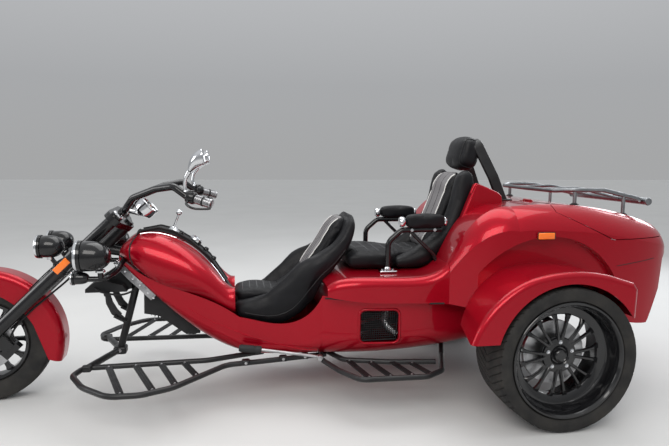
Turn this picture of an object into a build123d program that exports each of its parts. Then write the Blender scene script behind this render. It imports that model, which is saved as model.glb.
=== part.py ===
from build123d import *
import math
import os

os.makedirs("parts", exist_ok=True)

# A three-wheeled motor trike with a raked fork, a sunk rider seat, a raised passenger seat and a
# lidded trunk. It is drawn in millimetres from the ground under the rear axle, X forward, Y to the
# left and Z up, and put down with the middle of its length at the origin.

# Wheels
WHEELBASE = 2850
REAR_TYRE_R = 355
REAR_TYRE_W = 290
REAR_TRACK_HALF = 743
REAR_RIM_R = 273
FRONT_TYRE_R = 320
FRONT_TYRE_W = 130
FRONT_RIM_R = 205
RIM_SEAT = 0.3            # gap between a tyre's bead and its rim
SHAFT_FIT = 0.05          # radial clearance of a shaft in its bore
SEAT_GAP = 0.3            # gap between pieces of one body that lie on each other

# Reach of the whole machine from the rear axle, and its front end
TAIL_REACH = 830
NOSE_REACH = WHEELBASE + FRONT_TYRE_R
X_MID = (NOSE_REACH - TAIL_REACH) / 2

# Steering
RAKE = 46                 # steering axis, degrees from upright
STEM_OFFSET = 60          # fork legs stand this far ahead of the steering axis
LEG_SPREAD = 118          # fork leg from the centre plane
SLIDER_R = 36
LEG_R = 32
LEG_TOP = 972             # up the fork from the front axle
CLAMP_LOW = 640
CLAMP_HIGH = 925
CLAMP_T = 34
STEM_R = 15
HEAD_R = 34
AXLE_R = 12
FRONT_HUB_W = 140
GUARD_HALF = 79           # front mudguard's side from the centre plane

# Frame and shells
TUBE_R = 22               # main frame tubes
RAIL_R = 14               # footboard and rack rails
SHELL_T = 6               # moulded body panels
MAIN_TUBE_Y = 78          # main frame tubes from the centre plane


def mirrored(shape):
    return mirror(shape, about=Plane.XZ)


def group(*shapes):
    return Compound([solid for shape in shapes for solid in shape.solids()])


def pair(shape):
    return group(shape, mirrored(shape))


def tube(points, radius, bends=None):
    """A round bar along straight runs joined by arcs."""
    path = FilletPolyline(*points, radius=bends) if bends else Polyline(*points)
    start = Plane(origin=path @ 0, z_dir=path % 0)
    return sweep(start * Circle(radius), path=path, transition=Transition.ROUND)


def flat_bar(points, wide, thick, bends, up=(0, 1, 0)):
    path = FilletPolyline(*points, radius=bends)
    start = Plane(origin=path @ 0, x_dir=up, z_dir=path % 0)
    return sweep(start * RectangleRounded(wide, thick, min(wide, thick) * 0.3), path=path)


def side_face(points):
    """A face in the XZ plane from (x, z) corners."""
    return make_face(Polyline(*[(x, 0, z) for x, z in points], close=True))


def across(face, y_low, y_high):
    """A side face made solid between two Y planes."""
    return Pos(0, y_low, 0) * extrude(face, amount=y_high - y_low, dir=(0, 1, 0))


def rod(centre, direction, radius, length):
    """A cylinder centred on a point, along a direction."""
    return Plane(origin=centre, z_dir=direction) * Cylinder(radius, length)


# Fork frame: x ahead of the legs, y left, z up along the fork, origin at the front axle.
rake = math.radians(RAKE)
FORK = Plane(
    origin=(WHEELBASE, 0, FRONT_TYRE_R),
    x_dir=(math.cos(rake), 0, math.sin(rake)),
    z_dir=(-math.sin(rake), 0, math.cos(rake)),
)


def on_fork(ahead, side, up):
    return FORK.from_local_coords(Vector(ahead, side, up))


# Wheels

def tyre(radius, width, bead_r, bead_half, shoulder, crown):
    """A tyre about Y: flat bead, rounded wall and crowned tread."""
    half = width / 2
    wall_r = (radius + bead_r) / 2
    profile = Polyline((bead_r, bead_half), (bead_r, -bead_half)) + [
        ThreePointArc((bead_r, -bead_half), (wall_r, -half), (radius - crown, -half + shoulder)),
        ThreePointArc((radius - crown, -half + shoulder), (radius, 0), (radius - crown, half - shoulder)),
        ThreePointArc((radius - crown, half - shoulder), (wall_r, half), (bead_r, bead_half)),
    ]
    return revolve(make_face(profile), axis=Axis.Y)


def barrel(seat_r, width, wall, lip_r, lip_w):
    """A rim barrel about Y with a lip at each edge and a dropped middle."""
    half = width / 2
    inner = seat_r - wall
    outline = Polyline(
        (inner, -half), (lip_r, -half), (lip_r, -half + lip_w), (seat_r, -half + lip_w + 6),
        (seat_r, half - lip_w - 6), (lip_r, half - lip_w), (lip_r, half), (inner, half),
        close=True,
    )
    return revolve(make_face(outline), axis=Axis.Y)


def spoke(root, tip, root_size, tip_size):
    """A tapered bar in the XY plane turned about Y later: root and tip are (radius, y)."""
    low = Plane(origin=(root[0], root[1], 0), x_dir=(0, 1, 0), z_dir=(1, 0, 0))
    high = Plane(origin=(tip[0], tip[1], 0), x_dir=(0, 1, 0), z_dir=(1, 0, 0))
    return loft([low * Rectangle(*root_size), high * Rectangle(*tip_size)])


REAR_HUB_OUT = 48         # hub face outside the wheel's middle plane
REAR_BARREL_W = 282
REAR_SPOKE_PAIRS = 8
PAIR_SPREAD = 8.5         # degrees from the middle of a pair to each spoke
RIM_WINDOW_R = 196        # outer edge of the windows, where the deep dish starts


def rear_rim():
    rim = barrel(REAR_RIM_R - RIM_SEAT, REAR_BARREL_W, 9, REAR_RIM_R + 10, 7)
    dish = Pos(0, REAR_HUB_OUT, 0) * Rot(90, 0, 0) * Cylinder(82, 26)
    hub = Pos(0, -10, 0) * Rot(90, 0, 0) * Cylinder(62, 90)
    cap = Pos(0, REAR_HUB_OUT + 26, 0) * Rot(90, 0, 0) * Cylinder(36, 28)
    arm = spoke((62, REAR_HUB_OUT), (RIM_WINDOW_R + 4, REAR_HUB_OUT), (24, 15), (18, 10))
    step = Cylinder(REAR_RIM_R - 6, 14) - Cylinder(RIM_WINDOW_R, 14)
    step = Pos(0, REAR_HUB_OUT, 0) * Rot(90, 0, 0) * step
    turns = [
        turn * 360 / REAR_SPOKE_PAIRS + side * PAIR_SPREAD
        for turn in range(REAR_SPOKE_PAIRS) for side in (-1, 1)
    ]
    disc = Pos(0, -20, 0) * Rot(90, 0, 0) * (Cylinder(150, 22) - Cylinder(60, 22))
    rim = rim + [dish, hub, cap, disc, step] + [Rot(0, turn, 0) * arm for turn in turns]
    nut = Pos(56, REAR_HUB_OUT + 13, 0) * Rot(90, 0, 0) * Cylinder(9, 20)
    bore = Pos(0, -40, 0) * Rot(90, 0, 0) * Cylinder(HALF_SHAFT_R + SHAFT_FIT, 60)
    return rim - [bore] - [Rot(0, n * 72, 0) * nut for n in range(5)]


HALF_SHAFT_R = 20
FRONT_SPOKES = 12
FRONT_BARREL_W = 112


def front_rim():
    rim = barrel(FRONT_RIM_R - RIM_SEAT, FRONT_BARREL_W, 8, FRONT_RIM_R + 8, 6)
    hub = [Rot(90, 0, 0) * Cylinder(38, FRONT_HUB_W - 20), Rot(90, 0, 0) * Cylinder(60, 46)]
    arm = spoke((50, 0), (FRONT_RIM_R - 5, 0), (26, 16), (20, 11))
    arms = [Rot(0, turn * 360 / FRONT_SPOKES, 0) * arm for turn in range(FRONT_SPOKES)]
    hole = Pos(DISC_R - 18, DISC_Y, 0) * Rot(90, 0, 0) * Cylinder(6, DISC_T * 2)
    disc = Pos(0, DISC_Y, 0) * Rot(90, 0, 0) * (Cylinder(DISC_R, DISC_T) - Cylinder(30, DISC_T))
    disc -= [Rot(0, n * 30, 0) * hole for n in range(12)]
    rim = rim + hub + [disc] + arms
    return rim - Rot(90, 0, 0) * Cylinder(AXLE_R + SHAFT_FIT, FRONT_HUB_W + 20)


DISC_R = 145
DISC_T = 6
DISC_Y = 57

rear_tyre = tyre(REAR_TYRE_R, REAR_TYRE_W, REAR_RIM_R, 121, 12, 4)
front_tyre_solid = tyre(FRONT_TYRE_R, FRONT_TYRE_W, FRONT_RIM_R, 40, 22, 22)
left_rear = Pos(0, REAR_TRACK_HALF, REAR_TYRE_R)
front_place = Pos(WHEELBASE, 0, FRONT_TYRE_R)
rear_tyre_left = left_rear * rear_tyre
rear_rim_left = left_rear * rear_rim()
front_tyre = front_place * front_tyre_solid
front_wheel = front_place * front_rim()

# Fork, modelled upright in the fork frame


def clamp_plate(z, thick):
    """A yoke that joins both legs and the steering stem."""
    rounds = [Pos(0, side * LEG_SPREAD) * Circle(LEG_R + 18) for side in (-1, 1)]
    rounds.append(Pos(-STEM_OFFSET, 0) * Circle(STEM_R + 22))
    outline = make_hull([edge for disc in rounds for edge in disc.edges()])
    return Pos(0, 0, z) * extrude(outline, amount=thick)


leg = Pos(0, LEG_SPREAD, 0) * (
    Pos(0, 0, 265) * Cylinder(SLIDER_R, 590)
    + Pos(0, 0, (560 + LEG_TOP) / 2) * Cylinder(LEG_R, LEG_TOP - 560)
)
leg += Pos(0, LEG_SPREAD, LEG_TOP) * Cylinder(LEG_R - 8, 12)
fork_local = leg + mirrored(leg) + clamp_plate(CLAMP_LOW, CLAMP_T) + clamp_plate(CLAMP_HIGH, CLAMP_T)
fork_local += Pos(-STEM_OFFSET, 0, (CLAMP_LOW + CLAMP_HIGH) / 2) * Cylinder(STEM_R, CLAMP_HIGH - CLAMP_LOW)
fork_local += Pos(-STEM_OFFSET, 0, CLAMP_HIGH + CLAMP_T) * Cylinder(24, 24)
fork_local += Rot(90, 0, 0) * Cylinder(AXLE_R, 2 * LEG_SPREAD)
caliper = Pos(-DISC_R + 28, DISC_Y + 2, 62) * Box(52, 44, 96)
caliper -= Pos(0, DISC_Y, 0) * Rot(90, 0, 0) * Cylinder(DISC_R + 5, DISC_T + 10)
caliper += Pos(-55, LEG_SPREAD - SLIDER_R + 4, 70) * Box(110, 14, 60)
fork_local += caliper
GUARD_LUG_Z = 300         # lugs up the legs that carry the front mudguard
lug = Pos(0, GUARD_HALF + SEAT_GAP + 8, GUARD_LUG_Z) * Rot(90, 0, 0) * Cylinder(11, 16)
fork_local = fork_local + [lug, mirrored(lug)]
fork = FORK * fork_local

# Front mudguard: a crowned ring over the tyre with side walls that run to the fork
GUARD_R = 390
GUARD_T = 4
GUARD_FRONT = 42          # degrees above the level, ahead of the axle
GUARD_REAR = 198


def polar(radius, degrees):
    return (radius * math.cos(math.radians(degrees)), radius * math.sin(math.radians(degrees)))


def front_guard_profile(grow):
    """Side outline, (x, z) from the axle; grow moves it outward for the outer skin."""
    top = GUARD_R + grow
    mid = (GUARD_FRONT + GUARD_REAR) / 2
    start, middle, end = polar(top, GUARD_FRONT), polar(top, mid), polar(top, GUARD_REAR)
    tip, lobe_low = polar(328, GUARD_REAR), polar(262, 160)
    lobe_mid, lobe_high = polar(255, 135), polar(270, 105)
    front_low, front_mid = polar(350, GUARD_FRONT), polar(318, 72)
    lift = [(x, 0, z) for x, z in (start, middle, end, tip, lobe_low, lobe_mid, lobe_high, front_low, front_mid)]
    start, middle, end, tip, lobe_low, lobe_mid, lobe_high, front_low, front_mid = lift
    edges = [
        ThreePointArc(start, middle, end),
        Line(end, tip),
        Line(tip, lobe_low),
        ThreePointArc(lobe_low, lobe_mid, lobe_high),
        ThreePointArc(lobe_high, front_mid, front_low),
        Line(front_low, start),
    ]
    return make_face(edges)


guard_outer = across(front_guard_profile(0), -GUARD_HALF, GUARD_HALF)
crown_edges = guard_outer.edges().filter_by(GeomType.CIRCLE).sort_by(SortBy.LENGTH)[-2:]
guard_outer = fillet(crown_edges, 38)
guard_hollow = make_face(Rot(90, 0, 0) * Circle(GUARD_R - GUARD_T).edge())
guard_inner = across(guard_hollow, -GUARD_HALF + GUARD_T, GUARD_HALF - GUARD_T)
guard_inner = fillet(guard_inner.edges(), 34)
front_fender = front_place * (guard_outer - guard_inner)

# Handlebar and what it carries
BAR_R = 19
bar_points = [
    (2129, 70, 1010), (2073, 120, 1085), (1946, 200, 1136), (1852, 265, 1152), (1787, 300, 1106),
    (1661, 352, 1068),
]
bar_bends = [50, 60, 90, 60, 40]
bar_path = [(x, -y, z) for x, y, z in reversed(bar_points)] + bar_points
full_bar = tube(bar_path, BAR_R, bar_bends[::-1] + bar_bends)
grip_a, grip_b = Vector(*bar_points[4]), Vector(*bar_points[5])
grip_dir = (grip_b - grip_a).normalized()
grip_from = grip_a + grip_dir * 28
grip_length = (grip_b - grip_from).length
SWITCH_LONG = 42
grip_room = rod(grip_from + grip_dir * (200 - SWITCH_LONG / 2 - SEAT_GAP), grip_dir, BAR_R + 12, 400)
risers = [
    Plane(origin=on_fork(0, side * 56, CLAMP_HIGH + CLAMP_T + 21.3), z_dir=FORK.z_dir) * Cylinder(22, 42)
    for side in (-1, 1)
]
handlebar = full_bar - [grip_room, mirrored(grip_room)] + risers
grip = rod(grip_from + grip_dir * grip_length / 2, grip_dir, BAR_R + 4, grip_length)
switch_box = rod(grip_from, grip_dir, BAR_R + 11, SWITCH_LONG)
lever_points = [grip_from + Vector(10, 6, -10), grip_from + Vector(26, 44, -26), grip_b + Vector(24, 62, -14)]
lever = tube([tuple(point) for point in lever_points], 6, 16)
control = grip + switch_box + lever
hand_controls = pair(control)

# Mirrors on stalks from the switch boxes
MIRROR_CENTRE = Vector(1716, 318, 1300)
stalk = tube([(1790, 296, 1128), (1788, 300, 1215), tuple(MIRROR_CENTRE + Vector(-12, 0, -16))], 6, 40)
mirror_shell = Plane(origin=MIRROR_CENTRE, x_dir=(0, 1, 0), z_dir=(1, 0, -0.15)) * extrude(
    RectangleRounded(118, 82, 34), amount=26, taper=14
)
mirror_shell += Plane(origin=MIRROR_CENTRE, x_dir=(0, 1, 0), z_dir=(-1, 0, 0.15)) * extrude(
    RectangleRounded(122, 86, 36), amount=8
)
mirror_one = mirror_shell + stalk
mirror_one -= [full_bar, control]
mirrors = pair(max(mirror_one.solids(), key=lambda solid: solid.volume))

# Round instrument above the yoke, turned to the rider
GAUGE_R = 56
gauge_dir = Vector(-0.72, 0, 0.69)
gauge_at = Vector(2028, 0, 1018)
gauge_plane = Plane(origin=gauge_at, z_dir=gauge_dir)
instrument = gauge_plane * (Cylinder(GAUGE_R, 50) + Pos(0, 0, 30) * Cylinder(GAUGE_R + 5, 12))
instrument += gauge_plane * (Pos(0, 0, -34) * Cone(26, GAUGE_R, 20))
instrument += tube([tuple(gauge_at), (2118, 0, 1010)], 12)
instrument -= full_bar

# Twin lamps on a bar ahead of the fork
LAMP_R = 60


def bullet(radius, length, back):
    """A lamp shell along +X: drum at the lens, domed behind."""
    outline = make_face([
        Line((0, 0), (length, 0)),
        Line((length, 0), (length, radius)),
        Line((length, radius), (back, radius)),
        ThreePointArc((back, radius), (back * 0.3, radius * 0.74), (0, 0)),
    ])
    return revolve(outline, axis=Axis.X)


FORK_LAMP_Y = 96
fork_lamp = Pos(2430, FORK_LAMP_Y, 832) * bullet(LAMP_R, 134, 70)
lamp_stay = tube([(2500, FORK_LAMP_Y, 780), (2470, FORK_LAMP_Y, 740)], 11)
lamp_bar = tube([(2470, -FORK_LAMP_Y - 20, 738), (2470, FORK_LAMP_Y + 20, 738)], 13)
fork_lamps = group(fork_lamp + lamp_stay + lamp_bar + mirrored(fork_lamp + lamp_stay)) - fork

# Main frame: steering head, two long tubes under the body, cross tubes and the rear carrier
HEAD_LOW = CLAMP_LOW + CLAMP_T + SEAT_GAP
HEAD_HIGH = CLAMP_HIGH - SEAT_GAP
head = Pos(-STEM_OFFSET, 0, (HEAD_LOW + HEAD_HIGH) / 2) * (
    Cylinder(HEAD_R, HEAD_HIGH - HEAD_LOW) - Cylinder(STEM_R + SHAFT_FIT, HEAD_HIGH - HEAD_LOW)
)
head = FORK * head

# Lower body: one row per section, x, floor z, rim z, half width at the rim, half width at the floor
TUB_ROWS = [
    (2165, 738, 770, 60, 40),
    (1960, 548, 640, 150, 110),
    (1700, 336, 548, 205, 150),
    (1530, 256, 452, 232, 165),
    (1400, 233, 424, 248, 178),
    (1260, 234, 420, 268, 192),
    (1165, 238, 472, 298, 216),
    (1095, 241, 576, 322, 240),
    (900, 250, 558, 378, 290),
    (620, 266, 565, 400, 320),
    (250, 320, 568, 410, 330),
]


def tub_section(row, inset=0, lift=0):
    """U-shaped body section: flat floor, rounded bilge, upright side."""
    x, floor, rim, top_half, floor_half = row
    low, high = floor + inset, rim + lift
    wide, narrow = top_half - inset, floor_half - inset
    turn = low + (rim - floor) * 0.42
    plane = Plane(origin=(x, 0, 0), x_dir=(0, 1, 0), z_dir=(1, 0, 0))
    bow = (narrow + (wide - narrow) * 0.86, low + (turn - low) * 0.42)
    outline = [
        Line((-narrow, low), (narrow, low)),
        ThreePointArc((narrow, low), bow, (wide, turn)),
        Line((wide, turn), (wide, high)),
        Line((wide, high), (-wide, high)),
        Line((-wide, high), (-wide, turn)),
        ThreePointArc((-wide, turn), (-bow[0], bow[1]), (-narrow, low)),
    ]
    return plane * make_face(outline)


def tub(rows, inset=0, lift=0):
    return loft([tub_section(row, inset, lift) for row in rows])


NOSE_ROWS, WAIST_ROWS, STERN_ROWS = TUB_ROWS[:4], TUB_ROWS[3:8], TUB_ROWS[7:]
tub_outer = tub(NOSE_ROWS) + [tub(WAIST_ROWS), tub(STERN_ROWS)]
tub_inner = tub(NOSE_ROWS, SHELL_T, 60) + [tub(WAIST_ROWS, SHELL_T, 60), tub(STERN_ROWS, SHELL_T, 60)]
main_body = tub_outer - tub_inner
VENT_X = (700, 900)
VENT_Z = (330, 500)
vent_cut = Pos((VENT_X[0] + VENT_X[1]) / 2, 380, (VENT_Z[0] + VENT_Z[1]) / 2) * Box(
    VENT_X[1] - VENT_X[0], 130, VENT_Z[1] - VENT_Z[0]
)
vent_cut = fillet(vent_cut.edges().filter_by(Axis.Y), 26)
main_body -= vent_cut + mirrored(vent_cut)


# A backbone drops from the head into the tub and meets two rails that run to the tail
REAR_RAIL_Z = 405
REAR_RAIL_Y = 138
TUB_LOW = tub_outer.bounding_box().min.Z
BACKBONE_R = 26
JOIN_X = 1430
JOIN_Z = TUB_LOW + SHELL_T + BACKBONE_R + 8
BACKBONE_RUN = [
    (2262, 0, 802), (2150, 0, 782), (1960, 0, 622), (1700, 0, 410), (1530, 0, 318), (JOIN_X, 0, JOIN_Z),
]
BACKBONE_BENDS = [120, 200, 200, 100]
backbone = tube(BACKBONE_RUN, BACKBONE_R, BACKBONE_BENDS)
rail = tube([
    (JOIN_X, 0, JOIN_Z), (JOIN_X - 100, MAIN_TUBE_Y, JOIN_Z), (900, MAIN_TUBE_Y, 300),
    (520, REAR_RAIL_Y, REAR_RAIL_Z), (-620, REAR_RAIL_Y, REAR_RAIL_Z),
], TUBE_R, [60, 400, 200])
stem_room = FORK * (Pos(-STEM_OFFSET, 0, 700) * Cylinder(STEM_R + 6, 600))
foot_pad = Pos(JOIN_X, 0, TUB_LOW + SHELL_T + (JOIN_Z - TUB_LOW - SHELL_T) / 2 + 2) * Box(
    60, 160, JOIN_Z - TUB_LOW - SHELL_T - 3
)
CROSS_R = TUBE_R - 4
CROSS_ROWS = [(205, 415), (-180, 400), (-560, 400)]
frame = head + [backbone - stem_room, rail, mirrored(rail), foot_pad & tub_inner]
frame = frame + [rod((x, 0, REAR_RAIL_Z), (0, 1, 0), CROSS_R, 2 * half) for x, half in CROSS_ROWS]

# Upper cross tube that the dampers hang from, on two posts
DAMPER_TOP = (110, 690)
DAMPER_Y = 500
frame += rod((DAMPER_TOP[0], 0, DAMPER_TOP[1]), (0, 1, 0), CROSS_R, 2 * DAMPER_Y + 40)
post_mid = (DAMPER_TOP[0], REAR_RAIL_Y, (REAR_RAIL_Z + DAMPER_TOP[1]) / 2)
post = rod(post_mid, (0, 0, 1), CROSS_R, DAMPER_TOP[1] - REAR_RAIL_Z)
frame = frame + [post, mirrored(post)]

# Tank cowl on the front of the tub: rows of x, crease z, top z, half width, top half width
COWL_ROWS = [
    (2160, 772, 800, 62, 40),
    (2090, 735, 880, 138, 70),
    (1960, 642, 902, 186, 88),
    (1800, 588, 836, 214, 96),
    (1680, 536, 722, 216, 92),
    (1552, 462, 520, 212, 86),
]


def cowl_section(row):
    x, crease, top, half, top_half = row
    plane = Plane(origin=(x, 0, 0), x_dir=(0, 1, 0), z_dir=(1, 0, 0))
    high = crease + (top - crease) * 0.92
    bulge = (half * 1.02, crease + (top - crease) * 0.5)
    outline = [
        Line((-half * 0.86, crease), (half * 0.86, crease)),
        ThreePointArc((half * 0.86, crease), bulge, (top_half, high)),
        ThreePointArc((top_half, high), (0, top), (-top_half, high)),
        ThreePointArc((-top_half, high), (-bulge[0], bulge[1]), (-half * 0.86, crease)),
    ]
    return plane * make_face(outline)


front_cowl = loft([cowl_section(row) for row in COWL_ROWS])
front_cowl -= tub_outer
front_cowl -= FORK * (Pos(-STEM_OFFSET, 0, 800) * Cylinder(HEAD_R + 4, 400))
front_cowl -= tube(BACKBONE_RUN, BACKBONE_R + 4, BACKBONE_BENDS)
front_cowl = max(front_cowl.solids(), key=lambda solid: solid.volume)

console_strip = across(side_face([
    (2060, 899), (1955, 918), (1872, 896), (1786, 842), (1690, 752), (1560, 548), (1575, 500),
    (1700, 700), (1800, 800), (1880, 850), (1955, 872), (2060, 850),
]), -46, 46) - front_cowl
console_strip = group(max(console_strip.solids(), key=lambda solid: solid.volume))
filler = rod((1765, 0, 830), (-0.62, 0, 0.78), 30, 34) - front_cowl
console_strip = console_strip + filler

# Deck under the passenger seat: x, seam z, top z, half width
TAIL_FRONT = 446          # where the tail meets the deck
DECK_ROWS = [
    (1080, 584, 636, 396),
    (1010, 574, 674, 424),
    (860, 556, 684, 438),
    (600, 548, 684, 450),
    (520, 545, 700, 456),
    (TAIL_FRONT + SEAT_GAP, 542, 757, 464),
]
DECK_TOP = 684
DECK_ROUND = 46


def rounded_section(x, low, top, half, corner, flatness=1 - math.sqrt(0.5)):
    """Flat-bottomed section with rounded upper corners."""
    plane = Plane(origin=(x, 0, 0), x_dir=(0, 1, 0), z_dir=(1, 0, 0))
    diagonal = corner * flatness
    outline = [
        Line((-half, low), (half, low)),
        Line((half, low), (half, top - corner)),
        ThreePointArc((half, top - corner), (half - diagonal, top - diagonal), (half - corner, top)),
        Line((half - corner, top), (-half + corner, top)),
        ThreePointArc((-half + corner, top), (-half + diagonal, top - diagonal), (-half, top - corner)),
        Line((-half, top - corner), (-half, low)),
    ]
    return plane * make_face(outline)


def deck_shape(inset):
    rows = [(x, low - inset, top - inset, half - inset) for x, low, top, half in DECK_ROWS]
    return loft([rounded_section(*row, min(DECK_ROUND, (row[2] - row[1]) * 0.6)) for row in rows])


seat_deck = deck_shape(0) - deck_shape(SHELL_T)
seat_deck -= tub_outer
CUSHION_ROOM_Y = 246      # the seat's well in the deck and the tail, from the centre plane
cushion_room = Pos(500, 0, DECK_TOP + 100) * Box(300, 2 * CUSHION_ROOM_Y, 200)
cushion_floor = Pos(541, 0, DECK_TOP - SHELL_T / 2) * Box(178, 2 * CUSHION_ROOM_Y + 8, SHELL_T)
seat_deck = seat_deck - cushion_room + cushion_floor

# Tail body: x, bottom z, top z, half width, corner radius
TAIL_ROWS = [
    (TAIL_FRONT, 542, 758, 464, 48),
    (395, 538, 858, 500, 66),
    (325, 532, 966, 545, 90),
    (240, 524, 1034, 576, 106),
    (130, 515, 1056, 594, 118),
    (-60, 505, 1066, 602, 125),
    (-250, 485, 1058, 598, 130),
    (-450, 450, 1030, 584, 130),
    (-640, 420, 985, 550, 120),
    (-775, 450, 938, 496, 100),
    (-TAIL_REACH, 540, 892, 430, 90),
]
TAIL_SPLIT = 4            # row where the front loft ends and the rear one starts
SHOULDER = 0.38           # how flat the tail's shoulder is; 0.29 is a quarter circle
ARCH_AT = (-40, 470)      # wheel arch recess, x and z of its middle
ARCH_R = 440
ARCH_Y = 545              # inner wall of the recess
TRUNK_FLOOR_Z = 700
TRUNK_FRONT_X = -190


# The tail's rear panel leans in under the lid: x, z from its foot to the lid's edge
TAIL_UNDERCUT = [(-640, 390), (-672, 435), (-749, 600), (-775, 765), (-812, 800)]


def tail_shape(inset):
    rows = [
        (x, low, top - inset, half - inset, corner - inset * 0.5, SHOULDER)
        for x, low, top, half, corner in TAIL_ROWS
    ]
    front = loft([rounded_section(*row) for row in rows[:TAIL_SPLIT + 1]])
    rear = loft([rounded_section(*row) for row in rows[TAIL_SPLIT:]])
    under = [(x + inset, z) for x, z in TAIL_UNDERCUT]
    behind = -TAIL_REACH - 100
    cut = side_face([*under, (behind, under[-1][1]), (behind, under[0][1])])
    return front + rear - across(cut, -ARCH_Y * 2, ARCH_Y * 2)


def arch(radius, y_from):
    """The round recess over a wheel, on both sides."""
    place = Pos(ARCH_AT[0], y_from + 100, ARCH_AT[1]) * Rot(90, 0, 0)
    return pair(place * Cylinder(radius, 200))


tail_outer = tail_shape(0) - arch(ARCH_R, ARCH_Y)
tail_inner = tail_shape(SHELL_T) - arch(ARCH_R + SHELL_T, ARCH_Y - SHELL_T)
tail_inner &= Pos(-170, 0, 700) * Box(2 * (TAIL_REACH - 2 * SHELL_T - 170), 1400, 1200)
tail_middle = tail_shape(SHELL_T / 2) - arch(ARCH_R + SHELL_T / 2, ARCH_Y - SHELL_T / 2)
trunk_floor = tail_middle & Pos(-500, 0, TRUNK_FLOOR_Z) * Box(606, 1400, SHELL_T)
trunk_front = tail_middle & Pos(TRUNK_FRONT_X, 0, 897) * Box(SHELL_T, 1400, 400)
WELL_LOW, WELL_BACK, WELL_TOP = (318, 560), (300, 700), (128, 1120)
LINING_Y = CUSHION_ROOM_Y + SHELL_T
seat_well = side_face([(520, 560), WELL_LOW, WELL_BACK, WELL_TOP, (520, 1120)])
seat_well = across(seat_well, -CUSHION_ROOM_Y, CUSHION_ROOM_Y)
wall_line = [WELL_LOW, WELL_BACK, WELL_TOP]
wall_back = [(x - SHELL_T, z) for x, z in reversed(wall_line)]
well_lining = across(side_face(wall_line + wall_back), -LINING_Y, LINING_Y)
side_lining = side_face([(443, 580), (318, 580), WELL_BACK, WELL_TOP, (443, 1120)])
well_lining += pair(across(side_lining, CUSHION_ROOM_Y, LINING_Y))
# Raised lips on both sides of the passenger's back
LIP_T = 38
LIP_ROUND = 15
lip_outline = side_face([
    (345, 900), (262, 1110), (240, 1168), (170, 1146), (97, 1112), (80, 1072), (82, 1000),
])
lip = across(lip_outline, LINING_Y - 4, LINING_Y - 4 + LIP_T)
lip = fillet(lip.edges().filter_by(Axis.Y).sort_by(Axis.Z)[-5:], LIP_ROUND)
lip_rim = [edge for edge in lip.edges() if edge.bounding_box().size.Y < 1 and edge.center().Z > 1040]
lip = fillet([edge for edge in lip_rim if edge.center().Y > LINING_Y], LIP_ROUND - 3)
tail_shell = tail_outer - tail_inner + trunk_floor + trunk_front
tail_shell += well_lining & tail_middle
tail_shell = tail_shell + [lip, mirrored(lip)] - seat_well - tub_outer

# The lid is the part of the tail above a seam that drops from the deck to the waist
LID_GAP = 4
LID_FRONT_X = -95
WAIST_Z = 886
HINGE_AT = (LID_FRONT_X, 1070)


def lid_region(grow):
    return across(side_face([
        (LID_FRONT_X + grow, 1300), (LID_FRONT_X + grow, 1030), (-402 + grow * 0.6, WAIST_Z - grow),
        (-1000, WAIST_Z - grow), (-1000, 1300),
    ]), -700, 700)


tail_body = tail_shell - lid_region(LID_GAP / 2)
trunk_lid = (tail_outer - tail_inner) & lid_region(-LID_GAP / 2)
tail_body = max(tail_body.solids(), key=lambda solid: solid.volume)
trunk_lid = max(trunk_lid.solids(), key=lambda solid: solid.volume)
HINGE_R = 7
HINGE_PIN_R = 3
for y in (-240, 240):
    for offset in (-27, 27):
        knuckle = rod((HINGE_AT[0], y + offset, HINGE_AT[1]), (0, 1, 0), HINGE_R, 24)
        knuckle += Pos(HINGE_AT[0] + 14, y + offset, HINGE_AT[1] - 4.5) * Box(28, 24, 5)
        tail_body += knuckle
        trunk_lid -= rod((HINGE_AT[0], y + offset, HINGE_AT[1]), (0, 1, 0), HINGE_R + 2, 26)
    tail_body += rod((HINGE_AT[0], y, HINGE_AT[1]), (0, 1, 0), HINGE_PIN_R, 60)
    middle = rod((HINGE_AT[0], y, HINGE_AT[1]), (0, 1, 0), HINGE_R, 29)
    middle += Pos(HINGE_AT[0] - 14, y, HINGE_AT[1] - 4.5) * Box(28, 29, 5)
    trunk_lid += middle - rod((HINGE_AT[0], y, HINGE_AT[1]), (0, 1, 0), HINGE_PIN_R + SHAFT_FIT, 80)
    notch = rod((HINGE_AT[0], y, HINGE_AT[1]), (0, 1, 0), HINGE_R + 3, 30)
    tail_body -= notch - rod((HINGE_AT[0], y, HINGE_AT[1]), (0, 1, 0), HINGE_PIN_R, 80)

# Luggage rack on the lid
RACK_R = 12
RACK_Y = 385
rack_side = [(-205, 0, 1128), (-215, 300, 1128), (-290, RACK_Y, 1136), (-470, RACK_Y, 1134),
             (-700, RACK_Y - 10, 1084), (-770, 300, 1066), (-778, 0, 1064)]
rack_half = tube(rack_side, RACK_R, [60, 60, 60, 60, 60])
for x, top in ((-300, 1136), (-600, 1106)):
    rack_half += rod((x, RACK_Y - 6, (top + 940) / 2), (0, 0, 1), 10, top - 940)
rack_half += tube([(-207, 140, 1128), (-470, 140, 1134), (-774, 140, 1064)], 8, [200])
rack_half += rod((-762, RACK_Y / 2 - 10, 1068), (0, 1, 0), 20, RACK_Y - 20)
luggage_rack = rack_half + mirrored(rack_half)
luggage_rack -= tail_outer
luggage_rack = group(max(luggage_rack.solids(), key=lambda solid: solid.volume))

# Rear mudguards
GUARD_OUT = 888
GUARD_WALL = 5
GUARD_CLEAR_R = 373


GUARD_SWEEP = 88          # how far its front edge draws back toward the body
GUARD_DROP = 14           # how far its crown falls toward the body


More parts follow.
